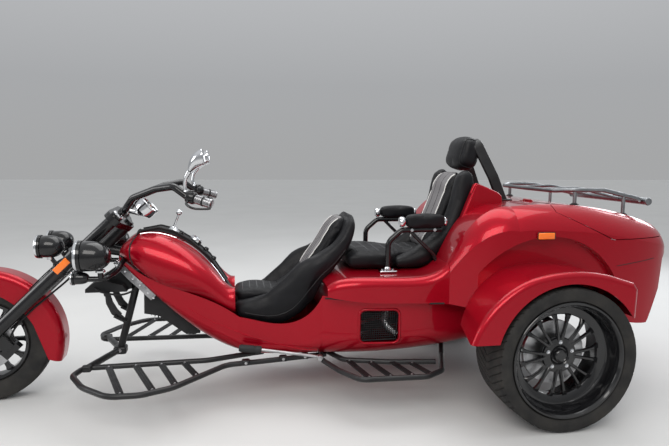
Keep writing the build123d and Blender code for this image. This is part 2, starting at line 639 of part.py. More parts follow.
def mudguard_outline(y, inset):
    """Side outline of the mudguard at one distance from the centre plane."""
    k = inset
    inboard = (GUARD_OUT - y) / (GUARD_OUT - ARCH_Y)
    f, d = GUARD_SWEEP * inboard, GUARD_DROP * inboard
    return make_face([
        ThreePointArc((500 - k - f, y, 455), (405 - k - f * 0.7, y, 618 - k), (195, y, 757 - k - d)),
        ThreePointArc((195, y, 757 - k - d), (5, y, 783 - k - d), (-190, y, 762 - k - d)),
        Line((-190, y, 762 - k - d), (-318 + k, y, 722 - k - d)),
        Line((-318 + k, y, 722 - k - d), (-340 + k, y, 690 - k)),
        Line((-340 + k, y, 690 - k), (-336 + k, y, 552)),
        Line((-336 + k, y, 552), (-290, y, 552)),
        Line((-290, y, 552), (330 - f, y, 455)),
        Line((330 - f, y, 455), (500 - k - f, y, 455)),
    ])


def guard_form(y_in, y_out, inset, ridge_r):
    form = loft([mudguard_outline(y_in, inset), mudguard_outline(y_out, inset)], ruled=True)
    ridge = [edge for edge in form.edges() if edge.center().Y > y_out - 1 and edge.center().Z > 560]
    return fillet(ridge, ridge_r)


guard_skin = guard_form(ARCH_Y + SEAT_GAP, GUARD_OUT, 0, 26)
guard_cut = guard_form(ARCH_Y - 20, GUARD_OUT - GUARD_WALL, GUARD_WALL, 22)
wheel_room = rod((0, 750, REAR_TYRE_R), (0, 1, 0), GUARD_CLEAR_R, 500)
mudguard_left = guard_skin - guard_cut - wheel_room
mudguard_left = max(mudguard_left.solids(), key=lambda solid: solid.volume)

# Seats
RIDER_HALF = 236
rider_outline = make_face([
    Line((905, 0, 905), (1093, 0, 547)),
    ThreePointArc((1093, 0, 547), (1158, 0, 458), (1262, 0, 412)),
    Line((1262, 0, 412), (1488, 0, 446)),
    ThreePointArc((1488, 0, 446), (1558, 0, 488), (1543, 0, 556)),
    Line((1543, 0, 556), (1345, 0, 592)),
    ThreePointArc((1345, 0, 592), (1205, 0, 628), (1108, 0, 737)),
    Line((1108, 0, 737), (975, 0, 985)),
    ThreePointArc((975, 0, 985), (905, 0, 1002), (905, 0, 905)),
])
rider_hollow = side_face([
    (1000, 1060), (938, 985), (1074, 722), (1120, 655), (1188, 600), (1335, 556), (1560, 512), (1560, 900),
])
rider_seat = across(rider_outline, -RIDER_HALF, RIDER_HALF)
rider_seat -= across(rider_hollow, -140, 140)
rider_seat -= tub_outer + seat_deck + front_cowl + console_strip
rider_seat = max(rider_seat.solids(), key=lambda solid: solid.volume)

PILLION_HALF = 238
pillion_outline = side_face([
    (425, DECK_TOP + SEAT_GAP), (925, DECK_TOP + SEAT_GAP), (945, 730), (930, 795), (700, 786), (430, 778),
])
passenger_seat = across(pillion_outline, -PILLION_HALF, PILLION_HALF)
passenger_seat = fillet(passenger_seat.edges().filter_by(lambda edge: edge.center().Z > 735), 26)

BACK_HALF = 232
back_outline = side_face([
    (308, 700), (330, DECK_TOP + SEAT_GAP), (636, DECK_TOP + SEAT_GAP), (664, 716), (660, 750),
    (566, 796), (440, 866), (378, 960), (350, 1050), (344, 1185), (326, 1234), (262, 1240), (214, 1190),
    (176, 1036),
])
passenger_backrest = across(back_outline, -BACK_HALF, BACK_HALF)
back_hollow = across(side_face([
    (700, 640), (470, 640), (462, 790), (392, 868), (318, 1050), (300, 1180), (330, 1200), (700, 1200),
]), -150, 150)
passenger_backrest -= back_hollow
passenger_backrest -= seat_deck + tail_shell
passenger_seat -= [rider_seat, seat_deck, passenger_backrest]
passenger_seat = max(passenger_seat.solids(), key=lambda solid: solid.volume)

# Roll bar behind the headrest
ROLL_Y = 165
roll_leg = flat_bar(
    [(20, ROLL_Y, 1050), (80, ROLL_Y - 10, 1200), (172, ROLL_Y - 50, 1396), (172, 0, 1396)], 26, 60, [160, 38]
)
roll_bar = roll_leg + mirrored(roll_leg)
roll_bar -= tail_outer
roll_bar = max(roll_bar.solids(), key=lambda solid: solid.volume)
headrest = Pos(204, 0, 1332) * Rot(0, -16, 0) * Box(116, 268, 182)
headrest = fillet(headrest.edges(), 34)
headrest -= [roll_bar, passenger_backrest]
headrest = max(headrest.solids(), key=lambda solid: solid.volume)
passenger_backrest = max(passenger_backrest.solids(), key=lambda solid: solid.volume)

# Armrests
ARM_Y = 272
pad = Pos(530, ARM_Y, 967) * Box(266, 62, 76)
pad = fillet(pad.edges(), 24)
arm_frame = tube(
    [(560, ARM_Y, 914), (655, ARM_Y, 914), (728, ARM_Y, 850), (730, ARM_Y, DECK_TOP + 3)], 15, [50, 60]
)
arm_frame += tube([(560, ARM_Y, 914), (430, ARM_Y, 914)], 15)
arm_frame += tube([(610, ARM_Y, 914), (470, ARM_Y, 775), (452, ARM_Y, 730)], 9, [30])
arm_frame += Pos(730, ARM_Y, DECK_TOP + SEAT_GAP + 3) * Box(84, 56, 6)
arm_frame -= [seat_deck, passenger_seat, passenger_backrest, tail_shell]
arm_frame = max(arm_frame.solids(), key=lambda solid: solid.volume)
pad -= arm_frame
armrest_pads = pair(pad)
armrest_frames = pair(arm_frame)

# Footboards: rails in plan (x, y) at one height, and slats between them
BOARD_Z = TUB_LOW - RAIL_R - SEAT_GAP

def rails(plan, bends, z=None):
    return tube([(x, y, BOARD_Z if z is None else z) for x, y in plan], RAIL_R, bends)


rider_board = rails([
    (1060, 214), (1420, 276), (1600, 300), (1850, 570), (1985, 634), (2130, 634), (2270, 500), (2352, 345),
    (2325, 238), (1700, 216), (1500, 150), (1400, 120),
], [500, 120, 200, 120, 120, 200, 60, 50, 200, 150])
SLAT_T = 6
SLAT_ROWS = [             # x at the inner rail, x and y at the outer rail
    (2204, 2072, 630),
    (2070, 1932, 606),
    (1942, 1836, 548),
    (1825, 1742, 448),
]
for x_in, x_out, y_out in SLAT_ROWS:
    span = Vector(x_out, y_out, BOARD_Z) - Vector(x_in, 232, BOARD_Z)
    mid = Vector((x_in + x_out) / 2, (232 + y_out) / 2, BOARD_Z + 2)
    rider_board += Plane(origin=mid, x_dir=span.normalized()) * Box(span.length, 34, SLAT_T)

PILLION_Z = BOARD_Z + 4
passenger_board = rails([(1070, 120), (1100, 300), (1035, 480), (950, 622), (610, 630), (510, 560), (430, 330)],
                        [60, 120, 70, 70, 60], PILLION_Z)
passenger_board += rails([(1072, 130), (980, 330), (740, 400), (500, 432)], [60, 100], PILLION_Z)
passenger_board += tube([(430, 330, PILLION_Z), (392, 220, 278)], RAIL_R)
for x_in, x_out in ((960, 900), (850, 790), (740, 680), (640, 580)):
    y_in = 345 if x_in > 900 else 385 if x_in > 700 else 428
    span = Vector(x_out, 622, 0) - Vector(x_in, y_in, 0)
    mid = Vector((x_in + x_out) / 2, (622 + y_in) / 2, PILLION_Z + 2)
    passenger_board += Plane(origin=mid, x_dir=span.normalized()) * Box(span.length, 34, SLAT_T)
passenger_board -= tub_outer
passenger_board = max(passenger_board.solids(), key=lambda solid: solid.volume)
passenger_footboards = pair(passenger_board)
rider_board -= [passenger_board, tub_outer]
rider_board = max(rider_board.solids(), key=lambda solid: solid.volume)
rider_footboards = pair(rider_board)

# Front strut from the keel to a beam that carries the rider footboards
STRUT_FOOT = (2184, 0, BOARD_Z + 16)
strut = tube([(2068, 0, 668), STRUT_FOOT], 20)
beam = tube([(2302, 262, BOARD_Z + 8), STRUT_FOOT, (2302, -262, BOARD_Z + 8)], 17)
front_crossbeam = strut + beam
front_crossbeam -= [tub_outer, rider_board, mirrored(rider_board)]
front_crossbeam = max(front_crossbeam.solids(), key=lambda solid: solid.volume)

# Guard under the steering head, and the radiator under the keel
GUARD_LOW = 585
GUARD_NOSE = 2330
guard_middle = side_face([
    (GUARD_NOSE, GUARD_LOW), (GUARD_NOSE, 603), (2188, 704), (2108, 660), (2104, GUARD_LOW),
])
guard_wings = side_face([
    (GUARD_NOSE, GUARD_LOW), (GUARD_NOSE, 603), (2262, 651), (2140, 620), (2120, GUARD_LOW),
])
radiator = across(guard_middle, -50, 50) + across(guard_wings, -120, 120)
radiator -= front_crossbeam + tub_outer
keel_box = across(side_face([
    (2036, 640), (2040, 452), (1963, 437), (1819, 327), (1745, 330), (1745, 420),
]), -84, 84) - tub_outer
keel_box = max(keel_box.solids(), key=lambda solid: solid.volume)
radiator = group(max(radiator.solids(), key=lambda solid: solid.volume), keel_box)

PEDAL_Y = 98
pedal = tube([(2226, PEDAL_Y, 570), (2216, PEDAL_Y, 500), (2150, PEDAL_Y, 437)], 10, [50])
pedal += Plane(origin=(2160, PEDAL_Y, 436), z_dir=(-0.5, 0, 0.87)) * Box(70, 54, 10)
pedal += rod((2226, PEDAL_Y, GUARD_LOW - SEAT_GAP - 13), (0, 1, 0), 13, 34)
pedals = pair(pedal)

gear_lever = tube([(1880, 0, 880), (1866, 8, 930), (1850, 22, 985)], 6, [60])
gear_lever += Pos(1848, 23, 992) * Sphere(17)
gear_lever += Pos(1882, 0, 896) * Cylinder(24, 34)
gear_lever -= front_cowl + console_strip
gear_lever = max(gear_lever.solids(), key=lambda solid: solid.volume)

brake_lever = tube([(1108, 318, 240), (1200, 314, 256), (1400, 304, 288), (1420, 303, 290)], 8, [100, 200])
brake_lever += rod((1478, 300, 297), (1, -0.05, 0.12), 15, 124)
brake_lever += rod((1108, 318, 236), (0, 1, 0), 16, 30)
brake_lever -= passenger_board + tub_outer
brake_lever = max(brake_lever.solids(), key=lambda solid: solid.volume)

# Lamps beside the steering head with an indicator under each
HEADLAMP_R = 78
HEADLAMP_Y = 275
lamp = Pos(2163, HEADLAMP_Y, 806) * bullet(HEADLAMP_R, 168, 100)
signal = Pos(2268, HEADLAMP_Y, 696) * bullet(32, 88, 46)
arm = tube([(2138, 84, 748), (2160, 170, 700), (2215, HEADLAMP_Y, 690), (2290, HEADLAMP_Y, 690)], 15, [40, 40])
arm += tube([(2215, HEADLAMP_Y, 690), (2215, HEADLAMP_Y, 745)], 15)
lamp_side = lamp + signal + arm
lamp_side -= frame + main_body + front_cowl
lamp_side = max(lamp_side.solids(), key=lambda solid: solid.volume)
frame_lamps = pair(lamp_side)

# Engine, axle, arms, dampers, exhaust
ENGINE_LOW = REAR_RAIL_Z + TUBE_R + SEAT_GAP
engine_block = Pos(-370, 0, (ENGINE_LOW + 690) / 2) * Box(400, 520, 690 - ENGINE_LOW)
engine_block = chamfer(engine_block.edges().filter_by(Axis.Z), 40)
axle_housing = rod((0, 0, REAR_TYRE_R), (0, 1, 0), 84, 200) & Pos(0, 0, REAR_TYRE_R) * Sphere(122)
half_shaft_end = REAR_TRACK_HALF - 12
rear_axle = axle_housing + rod((0, 0, REAR_TYRE_R), (0, 1, 0), HALF_SHAFT_R, 2 * half_shaft_end)
knuckle = rod((0, 560, REAR_TYRE_R), (0, 1, 0), 58, 50)
arm_at = (CROSS_ROWS[0][0], 396, REAR_RAIL_Z)
arm_run = tube([arm_at, (140, 480, 372), (20, 545, 350)], 22, [60])
arm_bore = rod(arm_at, (0, 1, 0), CROSS_R + SEAT_GAP, 200)
shaft_bore = rod((0, 560, REAR_TYRE_R), (0, 1, 0), HALF_SHAFT_R + SEAT_GAP, 120)
EYE_PIN_R = 8
EYE_HALF = 11
damper_low, damper_high = Vector(80, DAMPER_Y, 424), Vector(DAMPER_TOP[0], DAMPER_Y, DAMPER_TOP[1])
ears = [
    Pos(damper_low.X, DAMPER_Y + side * (EYE_HALF + 4), damper_low.Z - 20) * Box(26, 6, 66) for side in (-1, 1)
]
eye_pin = rod(damper_low, (0, 1, 0), EYE_PIN_R, 2 * EYE_HALF + 14)
trailing = knuckle + [arm_run, rod(arm_at, (0, 1, 0), 32, 36), eye_pin] + ears - [arm_bore, shaft_bore]
trailing = max(trailing.solids(), key=lambda solid: solid.volume)
trailing_arms = pair(trailing)
damper_dir = (damper_high - damper_low).normalized()
damper_mid = (damper_low + damper_high) * 0.5
damper = rod(damper_mid, damper_dir, 12, (damper_high - damper_low).length)
damper = damper + [
    rod(damper_mid + damper_dir * 16, damper_dir, 32, 160),
    rod(damper_low, (0, 1, 0), EYE_PIN_R + 8, 2 * EYE_HALF),
    rod(damper_high, (0, 1, 0), CROSS_R + 9, 2 * EYE_HALF),
]
damper -= [
    rod(damper_low, (0, 1, 0), EYE_PIN_R + SEAT_GAP, 100),
    rod(damper_high, (0, 1, 0), CROSS_R + SEAT_GAP, 100),
]
dampers = pair(max(damper.solids(), key=lambda solid: solid.volume))
silencer = rod((-690, 0, 350), (0, 1, 0), 62, 520)
tail_pipe = rod((-760, 180, 350), (1, 0, 0), 28, 110) - rod((-790, 180, 350), (1, 0, 0), 25, 60)
exhaust = silencer + tail_pipe + mirrored(tail_pipe)
HANGER_Y = 200
hanger = tube([(CROSS_ROWS[2][0], HANGER_Y, REAR_RAIL_Z), (-668, HANGER_Y, 366)], 8)
hanger += rod((CROSS_ROWS[2][0], HANGER_Y, REAR_RAIL_Z), (0, 1, 0), CROSS_R + 8, 20)
hanger -= rod((CROSS_ROWS[2][0], HANGER_Y, REAR_RAIL_Z), (0, 1, 0), CROSS_R + SEAT_GAP, 60)
header = rod((-600, 150, 350), (1, 0, 0), 20, 80)
exhaust = exhaust + [hanger, mirrored(hanger), header, mirrored(header)] - engine_block

# Rear lamps, side markers and number plate carrier
LENS_X = -768
rear_lens = group(*[rod((LENS_X, y, 690), (1, 0, 0), 42, 52) for y in (335, 245)])
marker = Pos(-8, 600, 915) * Box(86, 22, 30)
tail_lamps = pair(group(*[lens - tail_outer for lens in rear_lens.solids()], marker - tail_outer))
PLATE_HOLE_R = 3.5
PLATE_HOLE_Y = 60
PLATE_FACE_X = -792
plate_holder = Pos(PLATE_FACE_X + 40, 0, 640) * Box(80, 300, 190) - tail_outer
plate_holder = max(plate_holder.solids(), key=lambda solid: -solid.center().X)
plate_holder -= pair(rod((PLATE_FACE_X, PLATE_HOLE_Y, 640), (1, 0, 0), PLATE_HOLE_R, 60))

PARTS = {
    "frame": frame,
    "main_body": main_body,
    "front_cowl": front_cowl,
    "console_strip": console_strip,
    "seat_deck": seat_deck,
    "tail_body": tail_body,
    "mudguard_left": mudguard_left,
    "mudguard_right": mirrored(mudguard_left),
    "rider_seat": rider_seat,
    "passenger_seat": passenger_seat,
    "passenger_backrest": passenger_backrest,
    "headrest": headrest,
    "roll_bar": roll_bar,
    "armrest_pads": armrest_pads,
    "armrest_frames": armrest_frames,
    "rider_footboards": rider_footboards,
    "passenger_footboards": passenger_footboards,
    "front_crossbeam": front_crossbeam,
    "radiator": radiator,
    "pedals": pedals,
    "gear_lever": gear_lever,
    "brake_lever": brake_lever,
    "frame_lamps": frame_lamps,
    "engine_block": engine_block,
    "rear_axle": rear_axle,
    "trailing_arms": trailing_arms,
    "dampers": dampers,
    "exhaust": exhaust,
    "tail_lamps": tail_lamps,
    "plate_holder": plate_holder,
    "trunk_lid": trunk_lid,
    "luggage_rack": luggage_rack,
    "fork": fork,
    "front_fender": front_fender,
    "handlebar": handlebar,
    "hand_controls": hand_controls,
    "mirrors": mirrors,
    "instrument": instrument,
    "fork_lamps": fork_lamps,
    "front_tyre": front_tyre,
    "front_rim": front_wheel,
    "rear_tyre_left": rear_tyre_left,
    "rear_rim_left": rear_rim_left,
    "rear_tyre_right": mirrored(rear_tyre_left),
    "rear_rim_right": mirrored(rear_rim_left),
}

for name, shape in PARTS.items():
    export_step(Pos(-X_MID, 0, 0) * group(shape), f"parts/{name}.step")
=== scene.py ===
import math

import bmesh
import bpy
import numpy as np
from mathutils import Matrix, Vector
from mathutils.bvhtree import BVHTree


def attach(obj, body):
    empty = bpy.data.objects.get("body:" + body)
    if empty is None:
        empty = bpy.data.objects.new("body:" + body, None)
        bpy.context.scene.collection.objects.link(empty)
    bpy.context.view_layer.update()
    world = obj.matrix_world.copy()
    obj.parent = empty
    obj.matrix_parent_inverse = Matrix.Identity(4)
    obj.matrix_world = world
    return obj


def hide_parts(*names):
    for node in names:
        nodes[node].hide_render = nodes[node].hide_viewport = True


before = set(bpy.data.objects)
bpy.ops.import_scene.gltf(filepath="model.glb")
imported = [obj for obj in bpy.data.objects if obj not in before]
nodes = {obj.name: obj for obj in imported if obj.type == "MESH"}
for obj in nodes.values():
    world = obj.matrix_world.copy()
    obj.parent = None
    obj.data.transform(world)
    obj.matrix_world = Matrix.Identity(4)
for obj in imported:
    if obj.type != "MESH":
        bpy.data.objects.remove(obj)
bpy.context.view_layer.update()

# Places are given in millimetres: x forward from the rear axle, y to the rider's left, z up from the
# ground. place() turns them into the frame's metres.
REAR_TO_MIDDLE = 1170
WHEELBASE = 2850
REAR_TYRE_R = 355
REAR_TRACK = 743
FRONT_TYRE_R = 320
RAKE = math.radians(46)
LEG_SPREAD = 118
X, Y, Z = (1, 0, 0), (0, 1, 0), (0, 0, 1)
BACK, DOWN = (-1, 0, 0), (0, 0, -1)
LEG_UP = np.array((-math.sin(RAKE), 0, math.cos(RAKE)))
LEG_FORE = np.array((math.cos(RAKE), 0, math.sin(RAKE)))


def place(x, y, z):
    return Vector(((x - REAR_TO_MIDDLE) / 1000, y / 1000, z / 1000))


def on_fork(ahead, side, up):
    """A point in the fork's frame: ahead of the legs, to the left, and up along them from the axle."""
    x = WHEELBASE + ahead * math.cos(RAKE) - up * math.sin(RAKE)
    z = FRONT_TYRE_R + ahead * math.sin(RAKE) + up * math.cos(RAKE)
    return (x, side, z)


def put(name, data):
    """An object in the scene that shows the data."""
    made = bpy.data.objects.new(name, data)
    bpy.context.scene.collection.objects.link(made)
    return made


# Camera at the photographed angle, floor and soft light

CAMERA_AT = (1558.7, 3273.5, 1304.9)
CAMERA_YAW, CAMERA_PITCH, CAMERA_ROLL = 0.17566, 0.11368, 0.00749
FRAME_WIDTH_PX, FOCAL_PX = 669, 576.06
FLOOR_HALF = 30
DOME_STRENGTH = 0.84
DOME_SHADES = ((0.12, 0.47), (0.3, 0.60), (0.6, 0.86))
# Name, place, target, size, power and tint of each lamp
LIGHTS = (
    ("key", (1.5, 4.5, 4.2), (0, 0, 0.5), (4.5, 2.4), 175, (1, 0.97, 0.93)),
    ("top", (-0.5, -0.6, 4.6), (0, 0, 0.3), (5.5, 2.6), 125, (1, 1, 1)),
    ("rear", (-4.5, -2.8, 2.8), (0, 0, 0.5), (3, 2), 85, (0.93, 0.96, 1)),
    ("front", (5.2, 0.5, 2.4), (0, 0, 0.6), (2.4, 2.0), 60, (1, 1, 1)),
)


def make_camera():
    data = bpy.data.cameras.new("camera")
    camera = put("camera", data)
    data.sensor_width = 36
    data.lens = FOCAL_PX * data.sensor_width / FRAME_WIDTH_PX
    sy, cy = math.sin(CAMERA_YAW), math.cos(CAMERA_YAW)
    sp, cp = math.sin(CAMERA_PITCH), math.cos(CAMERA_PITCH)
    forward = Vector((-sy * cp, -cy * cp, -sp))
    level_right = Vector((-cy, sy, 0))
    level_up = level_right.cross(forward)
    sr, cr = math.sin(CAMERA_ROLL), math.cos(CAMERA_ROLL)
    right = level_right * cr + level_up * sr
    up = level_up * cr - level_right * sr
    turn = Matrix((right, up, -forward)).transposed()
    camera.matrix_world = Matrix.Translation(place(*CAMERA_AT)) @ turn.to_4x4()
    bpy.context.scene.camera = camera


def area_light(name, at, target, size, power, tint):
    data = bpy.data.lights.new(name, "AREA")
    data.shape = "RECTANGLE"
    data.size, data.size_y = size
    data.energy = power
    data.color = tint
    lamp = put(name, data)
    lamp.location = at
    lamp.rotation_euler = (Vector(target) - Vector(at)).to_track_quat("-Z", "Y").to_euler()


def studio_world():
    """A soft dome that is brighter overhead than at the horizon."""
    world = bpy.data.worlds.new("studio")
    world.use_nodes = True
    tree = world.node_tree
    coords = tree.nodes.new("ShaderNodeTexCoord")
    split = tree.nodes.new("ShaderNodeSeparateXYZ")
    ramp = tree.nodes.new("ShaderNodeValToRGB")
    stops = ramp.color_ramp.elements
    for position, shade in DOME_SHADES:
        stops.new(position).color = (shade * 0.98, shade, shade * 1.03, 1)
    stops[0].color = (0.45, 0.455, 0.46, 1)
    stops[-1].color = (0.98, 1, 1, 1)
    background = tree.nodes["Background"]
    background.inputs["Strength"].default_value = DOME_STRENGTH
    tree.links.new(coords.outputs["Generated"], split.inputs[0])
    tree.links.new(split.outputs["Z"], ramp.inputs["Fac"])
    tree.links.new(ramp.outputs["Color"], background.inputs["Color"])
    return world


def make_stage():
    scene = bpy.context.scene
    scene.view_settings.view_transform = "Standard"
    scene.world = studio_world()
    mesh = bpy.data.meshes.new("floor")
    corners = [(x * FLOOR_HALF, y * FLOOR_HALF, 0) for x, y in ((-1, -1), (1, -1), (1, 1), (-1, 1))]
    mesh.from_pydata(corners, [], [(0, 1, 2, 3)])
    mesh.materials.append(PAINT["floor"])
    put("floor", mesh)
    for light in LIGHTS:
        area_light(*light)


# Materials

def noise(scale, detail=4, stretch=(1, 1, 1)):
    return "Noise", "Fac", stretch, {"Scale": scale, "Detail": detail}


def cells(scale, feature="F1"):
    return "Voronoi", "Distance", (1, 1, 1), {"Scale": scale, "feature": feature}


class Shader:
    """A principled material on which procedural patterns of tint, roughness and bump are chained."""

    def __init__(self, name, color, roughness, **values):
        self.material = bpy.data.materials.new(name)
        self.material.use_nodes = True
        self.tree = self.material.node_tree
        self.inputs = self.tree.nodes["Principled BSDF"].inputs
        self.inputs["Base Color"].default_value = (*color, 1)
        self.inputs["Roughness"].default_value = roughness
        for key, value in values.items():
            self.inputs[key.replace("_", " ")].default_value = value
        self.normal = None

    def node(self, kind, **values):
        made = self.tree.nodes.new("ShaderNode" + kind)
        for key, value in values.items():
            if key in made.inputs:
                made.inputs[key].default_value = value
            else:
                setattr(made, key, value)
        return made

    def pattern(self, kind, output, stretch, values):
        coords, mapping = self.node("TexCoord"), self.node("Mapping", Scale=stretch)
        made = self.node("Tex" + kind, **values)
        self.tree.links.new(coords.outputs["Object"], mapping.inputs["Vector"])
        self.tree.links.new(mapping.outputs["Vector"], made.inputs["Vector"])
        return made.outputs[output]

    def tint(self, source, first, second, start=0.3, end=0.7):
        made = self.node("ValToRGB")
        stops = made.color_ramp.elements
        stops[0].position, stops[1].position = start, end
        stops[0].color, stops[1].color = (*first, 1), (*second, 1)
        self.tree.links.new(self.pattern(*source), made.inputs["Fac"])
        self.tree.links.new(made.outputs["Color"], self.inputs["Base Color"])
        return self

    def rough(self, source, low, high):
        made = self.node("MapRange", **{"From Min": 0.3, "From Max": 0.7, "To Min": low, "To Max": high})
        self.tree.links.new(self.pattern(*source), made.inputs["Value"])
        self.tree.links.new(made.outputs["Result"], self.inputs["Roughness"])
        return self

    def bump(self, source, strength, distance=0.001):
        made = self.node("Bump", Strength=strength, Distance=distance)
        self.tree.links.new(self.pattern(*source), made.inputs["Height"])
        if self.normal:
            self.tree.links.new(self.normal, made.inputs["Normal"])
        self.normal = made.outputs["Normal"]
        self.tree.links.new(self.normal, self.inputs["Normal"])
        return self


def leather(name, dark, light, roughness=0.46):
    shader = Shader(name, dark, roughness, Specular_IOR_Level=0.22, Sheen_Weight=0.02, Sheen_Roughness=0.5)
    shader.tint(noise(7, 6), dark, light, 0.35, 0.75).rough(noise(22, 5), roughness - 0.08, roughness + 0.1)
    return shader.bump(cells(620, "SMOOTH_F1"), 0.32, 0.0007).bump(noise(26, 6), 0.25, 0.003)


def brushed(name, dark, light, roughness=0.34):
    shader = Shader(name, light, roughness, Metallic=1.0).tint(noise(18, 5), dark, light)
    shader.rough(noise(60, 4), roughness - 0.08, roughness + 0.12)
    return shader.bump(noise(260, 3, (1, 9, 9)), 0.1, 0.0004)


def build_materials():
    shaders = {
        "floor": Shader("studio_floor", (0.56, 0.56, 0.555), 0.8)
        .tint(noise(1.2, 6), (0.545, 0.545, 0.54), (0.575, 0.575, 0.57)).bump(noise(160, 5), 0.08),
        "red": Shader("candy_red", (0.34, 0.001, 0.010), 0.32, Metallic=0.5, Specular_IOR_Level=0.12,
                      Coat_Weight=1.0, Coat_Roughness=0.025, Coat_IOR=1.27)
        .tint(cells(1400), (0.47, 0.001, 0.016), (0.26, 0.0005, 0.007), 0.1, 0.8)
        .rough(noise(900, 2), 0.27, 0.38).bump(noise(14, 2), 0.02),
        "gloss_black": Shader("gloss_black", (0.006, 0.006, 0.007), 0.24, Specular_IOR_Level=0.2,
                              Coat_Weight=0.8, Coat_Roughness=0.05, Coat_IOR=1.4)
        .rough(noise(40, 6), 0.18, 0.30).bump(noise(420, 3), 0.03, 0.0005),
        "satin_black": Shader("satin_black", (0.010, 0.010, 0.011), 0.42, Specular_IOR_Level=0.3,
                              Coat_Weight=0.2, Coat_Roughness=0.25, Coat_IOR=1.4)
        .tint(noise(9, 5), (0.007, 0.007, 0.008), (0.015, 0.015, 0.016))
        .rough(noise(30, 5), 0.34, 0.5).bump(noise(900, 3), 0.12, 0.0004),
        "moulded": Shader("moulded_black", (0.014, 0.014, 0.015), 0.6, Specular_IOR_Level=0.3)
        .tint(noise(14, 6), (0.010, 0.010, 0.011), (0.021, 0.021, 0.022)).bump(cells(1500), 0.25, 0.0004),
        "leather": leather("black_leather", (0.002, 0.002, 0.003), (0.008, 0.008, 0.010)),
        "insert": leather("grey_insert", (0.13, 0.125, 0.13), (0.22, 0.21, 0.215), 0.6),
        "chrome": Shader("chrome_plate", (0.66, 0.67, 0.69), 0.08, Metallic=1.0)
        .rough(noise(24, 6), 0.03, 0.13).bump(noise(300, 2), 0.015, 0.0004),
        "steel": brushed("brushed_steel", (0.34, 0.34, 0.35), (0.52, 0.52, 0.53)),
        "cast": Shader("cast_metal", (0.2, 0.2, 0.21), 0.55, Metallic=0.9)
        .tint(noise(12, 6), (0.13, 0.13, 0.135), (0.30, 0.30, 0.31)).bump(noise(420, 5), 0.35, 0.0009),
        "rack": brushed("rack_grey", (0.17, 0.18, 0.19), (0.27, 0.28, 0.29), 0.42),
        "silver": brushed("grip_silver", (0.30, 0.30, 0.31), (0.46, 0.46, 0.47), 0.3),
        "tyre": Shader("tyre_rubber", (0.022, 0.022, 0.022), 0.78, Specular_IOR_Level=0.3)
        .tint(noise(11, 6), (0.013, 0.013, 0.0135), (0.040, 0.037, 0.033), 0.3, 0.8)
        .rough(noise(18), 0.68, 0.9).bump(noise(700), 0.18, 0.0005),
        "rim": Shader("rim_black", (0.006, 0.006, 0.007), 0.2, Specular_IOR_Level=0.25, Coat_Weight=0.9,
                      Coat_Roughness=0.05, Coat_IOR=1.42)
        .rough(noise(25, 5), 0.16, 0.28).tint(noise(6, 5), (0.004, 0.004, 0.005), (0.011, 0.011, 0.012)),
        "amber": Shader("amber_lens", (0.95, 0.20, 0.01), 0.18, Coat_Weight=0.6).bump(cells(420), 0.5, 0.0008),
        "red_lens": Shader("red_lens", (0.45, 0.008, 0.008), 0.16, Coat_Weight=0.7)
        .bump(cells(380), 0.5, 0.0008),
        "lens": Shader("clear_lens", (0.86, 0.88, 0.9), 0.08, Metallic=0.35, Coat_Weight=1.0)
        .bump(cells(160), 0.35),
        "white_cord": Shader("white_cord", (0.72, 0.71, 0.69), 0.5)
        .tint(noise(60), (0.62, 0.61, 0.59), (0.78, 0.77, 0.75)).bump(noise(900, 2), 0.15, 0.0004),
        "plate": Shader("blank_plate", (0.6, 0.6, 0.58), 0.4, Specular_IOR_Level=0.3)
        .tint(noise(20, 5), (0.55, 0.55, 0.53), (0.64, 0.64, 0.62)).bump(noise(500, 3), 0.08, 0.0004),
    }
    return {name: shader.material for name, shader in shaders.items()}


NODE_FINISH = {
    "red": "main_body front_cowl seat_deck tail_body mudguard_left mudguard_right trunk_lid front_fender",
    "leather": "rider_seat passenger_seat passenger_backrest headrest armrest_pads",
    "satin_black": "frame roll_bar rider_footboards passenger_footboards front_crossbeam pedals brake_lever "
                   "trailing_arms",
    "gloss_black": "armrest_frames frame_lamps fork handlebar fork_lamps",
    "moulded": "console_strip radiator plate_holder hand_controls",
    "chrome": "gear_lever exhaust mirrors instrument",
    "cast": "engine_block rear_axle",
    "steel": "dampers",
    "red_lens": "tail_lamps",
    "rack": "luggage_rack",
    "tyre": "front_tyre rear_tyre_left rear_tyre_right",
    "rim": "front_rim rear_rim_left rear_rim_right",
}


def dress_nodes():
    """Gives every CAD node its finish."""
    for finish, names in NODE_FINISH.items():
        for name in names.split():
            mesh = nodes[name].data
            mesh.materials.clear()
            mesh.materials.append(PAINT[finish])


# Mesh making, all in millimetres until make() places a piece

FAR = 2000
MERGE = 0.002


class Shape:
    """Vertices and faces gathered from several forms, each face with the number of its paint."""

    def __init__(self):
        self.verts = []
        self.faces = []
        self.paints = []

    def add(self, form, paint=0):
        verts, faces = form
        start = len(self.verts)
        self.verts += [tuple(float(c) for c in v) for v in verts]
        self.faces += [tuple(start + i for i in face) for face in faces]
        self.paints += [paint] * len(faces)
        return self

    def bolt(self, at, axis, size, paint):
        """A hexagon head with a washer, standing on a face."""
        washer = [(0, 0), (size * 1.25, 0), (size * 1.25, size * 0.22), (0, size * 0.22)]
        head = [(0, 0), (size, 0), (size, size * 0.75), (size * 0.8, size * 0.95), (0, size * 0.95)]
        self.add(lathe(washer, at, axis, 20), paint)
        self.add(lathe(head, at, axis, 6), paint)

    def join(self, other):
        start = len(self.verts)
        self.verts += other.verts
        self.faces += [tuple(start + i for i in face) for face in other.faces]
        self.paints += other.paints
        return self

    def mirrored(self):
        other = Shape()
        other.verts = [(x, -y, z) for x, y, z in self.verts]
        other.faces = [face[::-1] for face in self.faces]
        other.paints = list(self.paints)
        return other

    def pair(self):
        return self.join(self.mirrored())

    def moved(self, x, y, z):
        self.verts = [(a + x, b + y, c + z) for a, b, c in self.verts]
        return self


def vec(*values):
    return np.array(values, float)


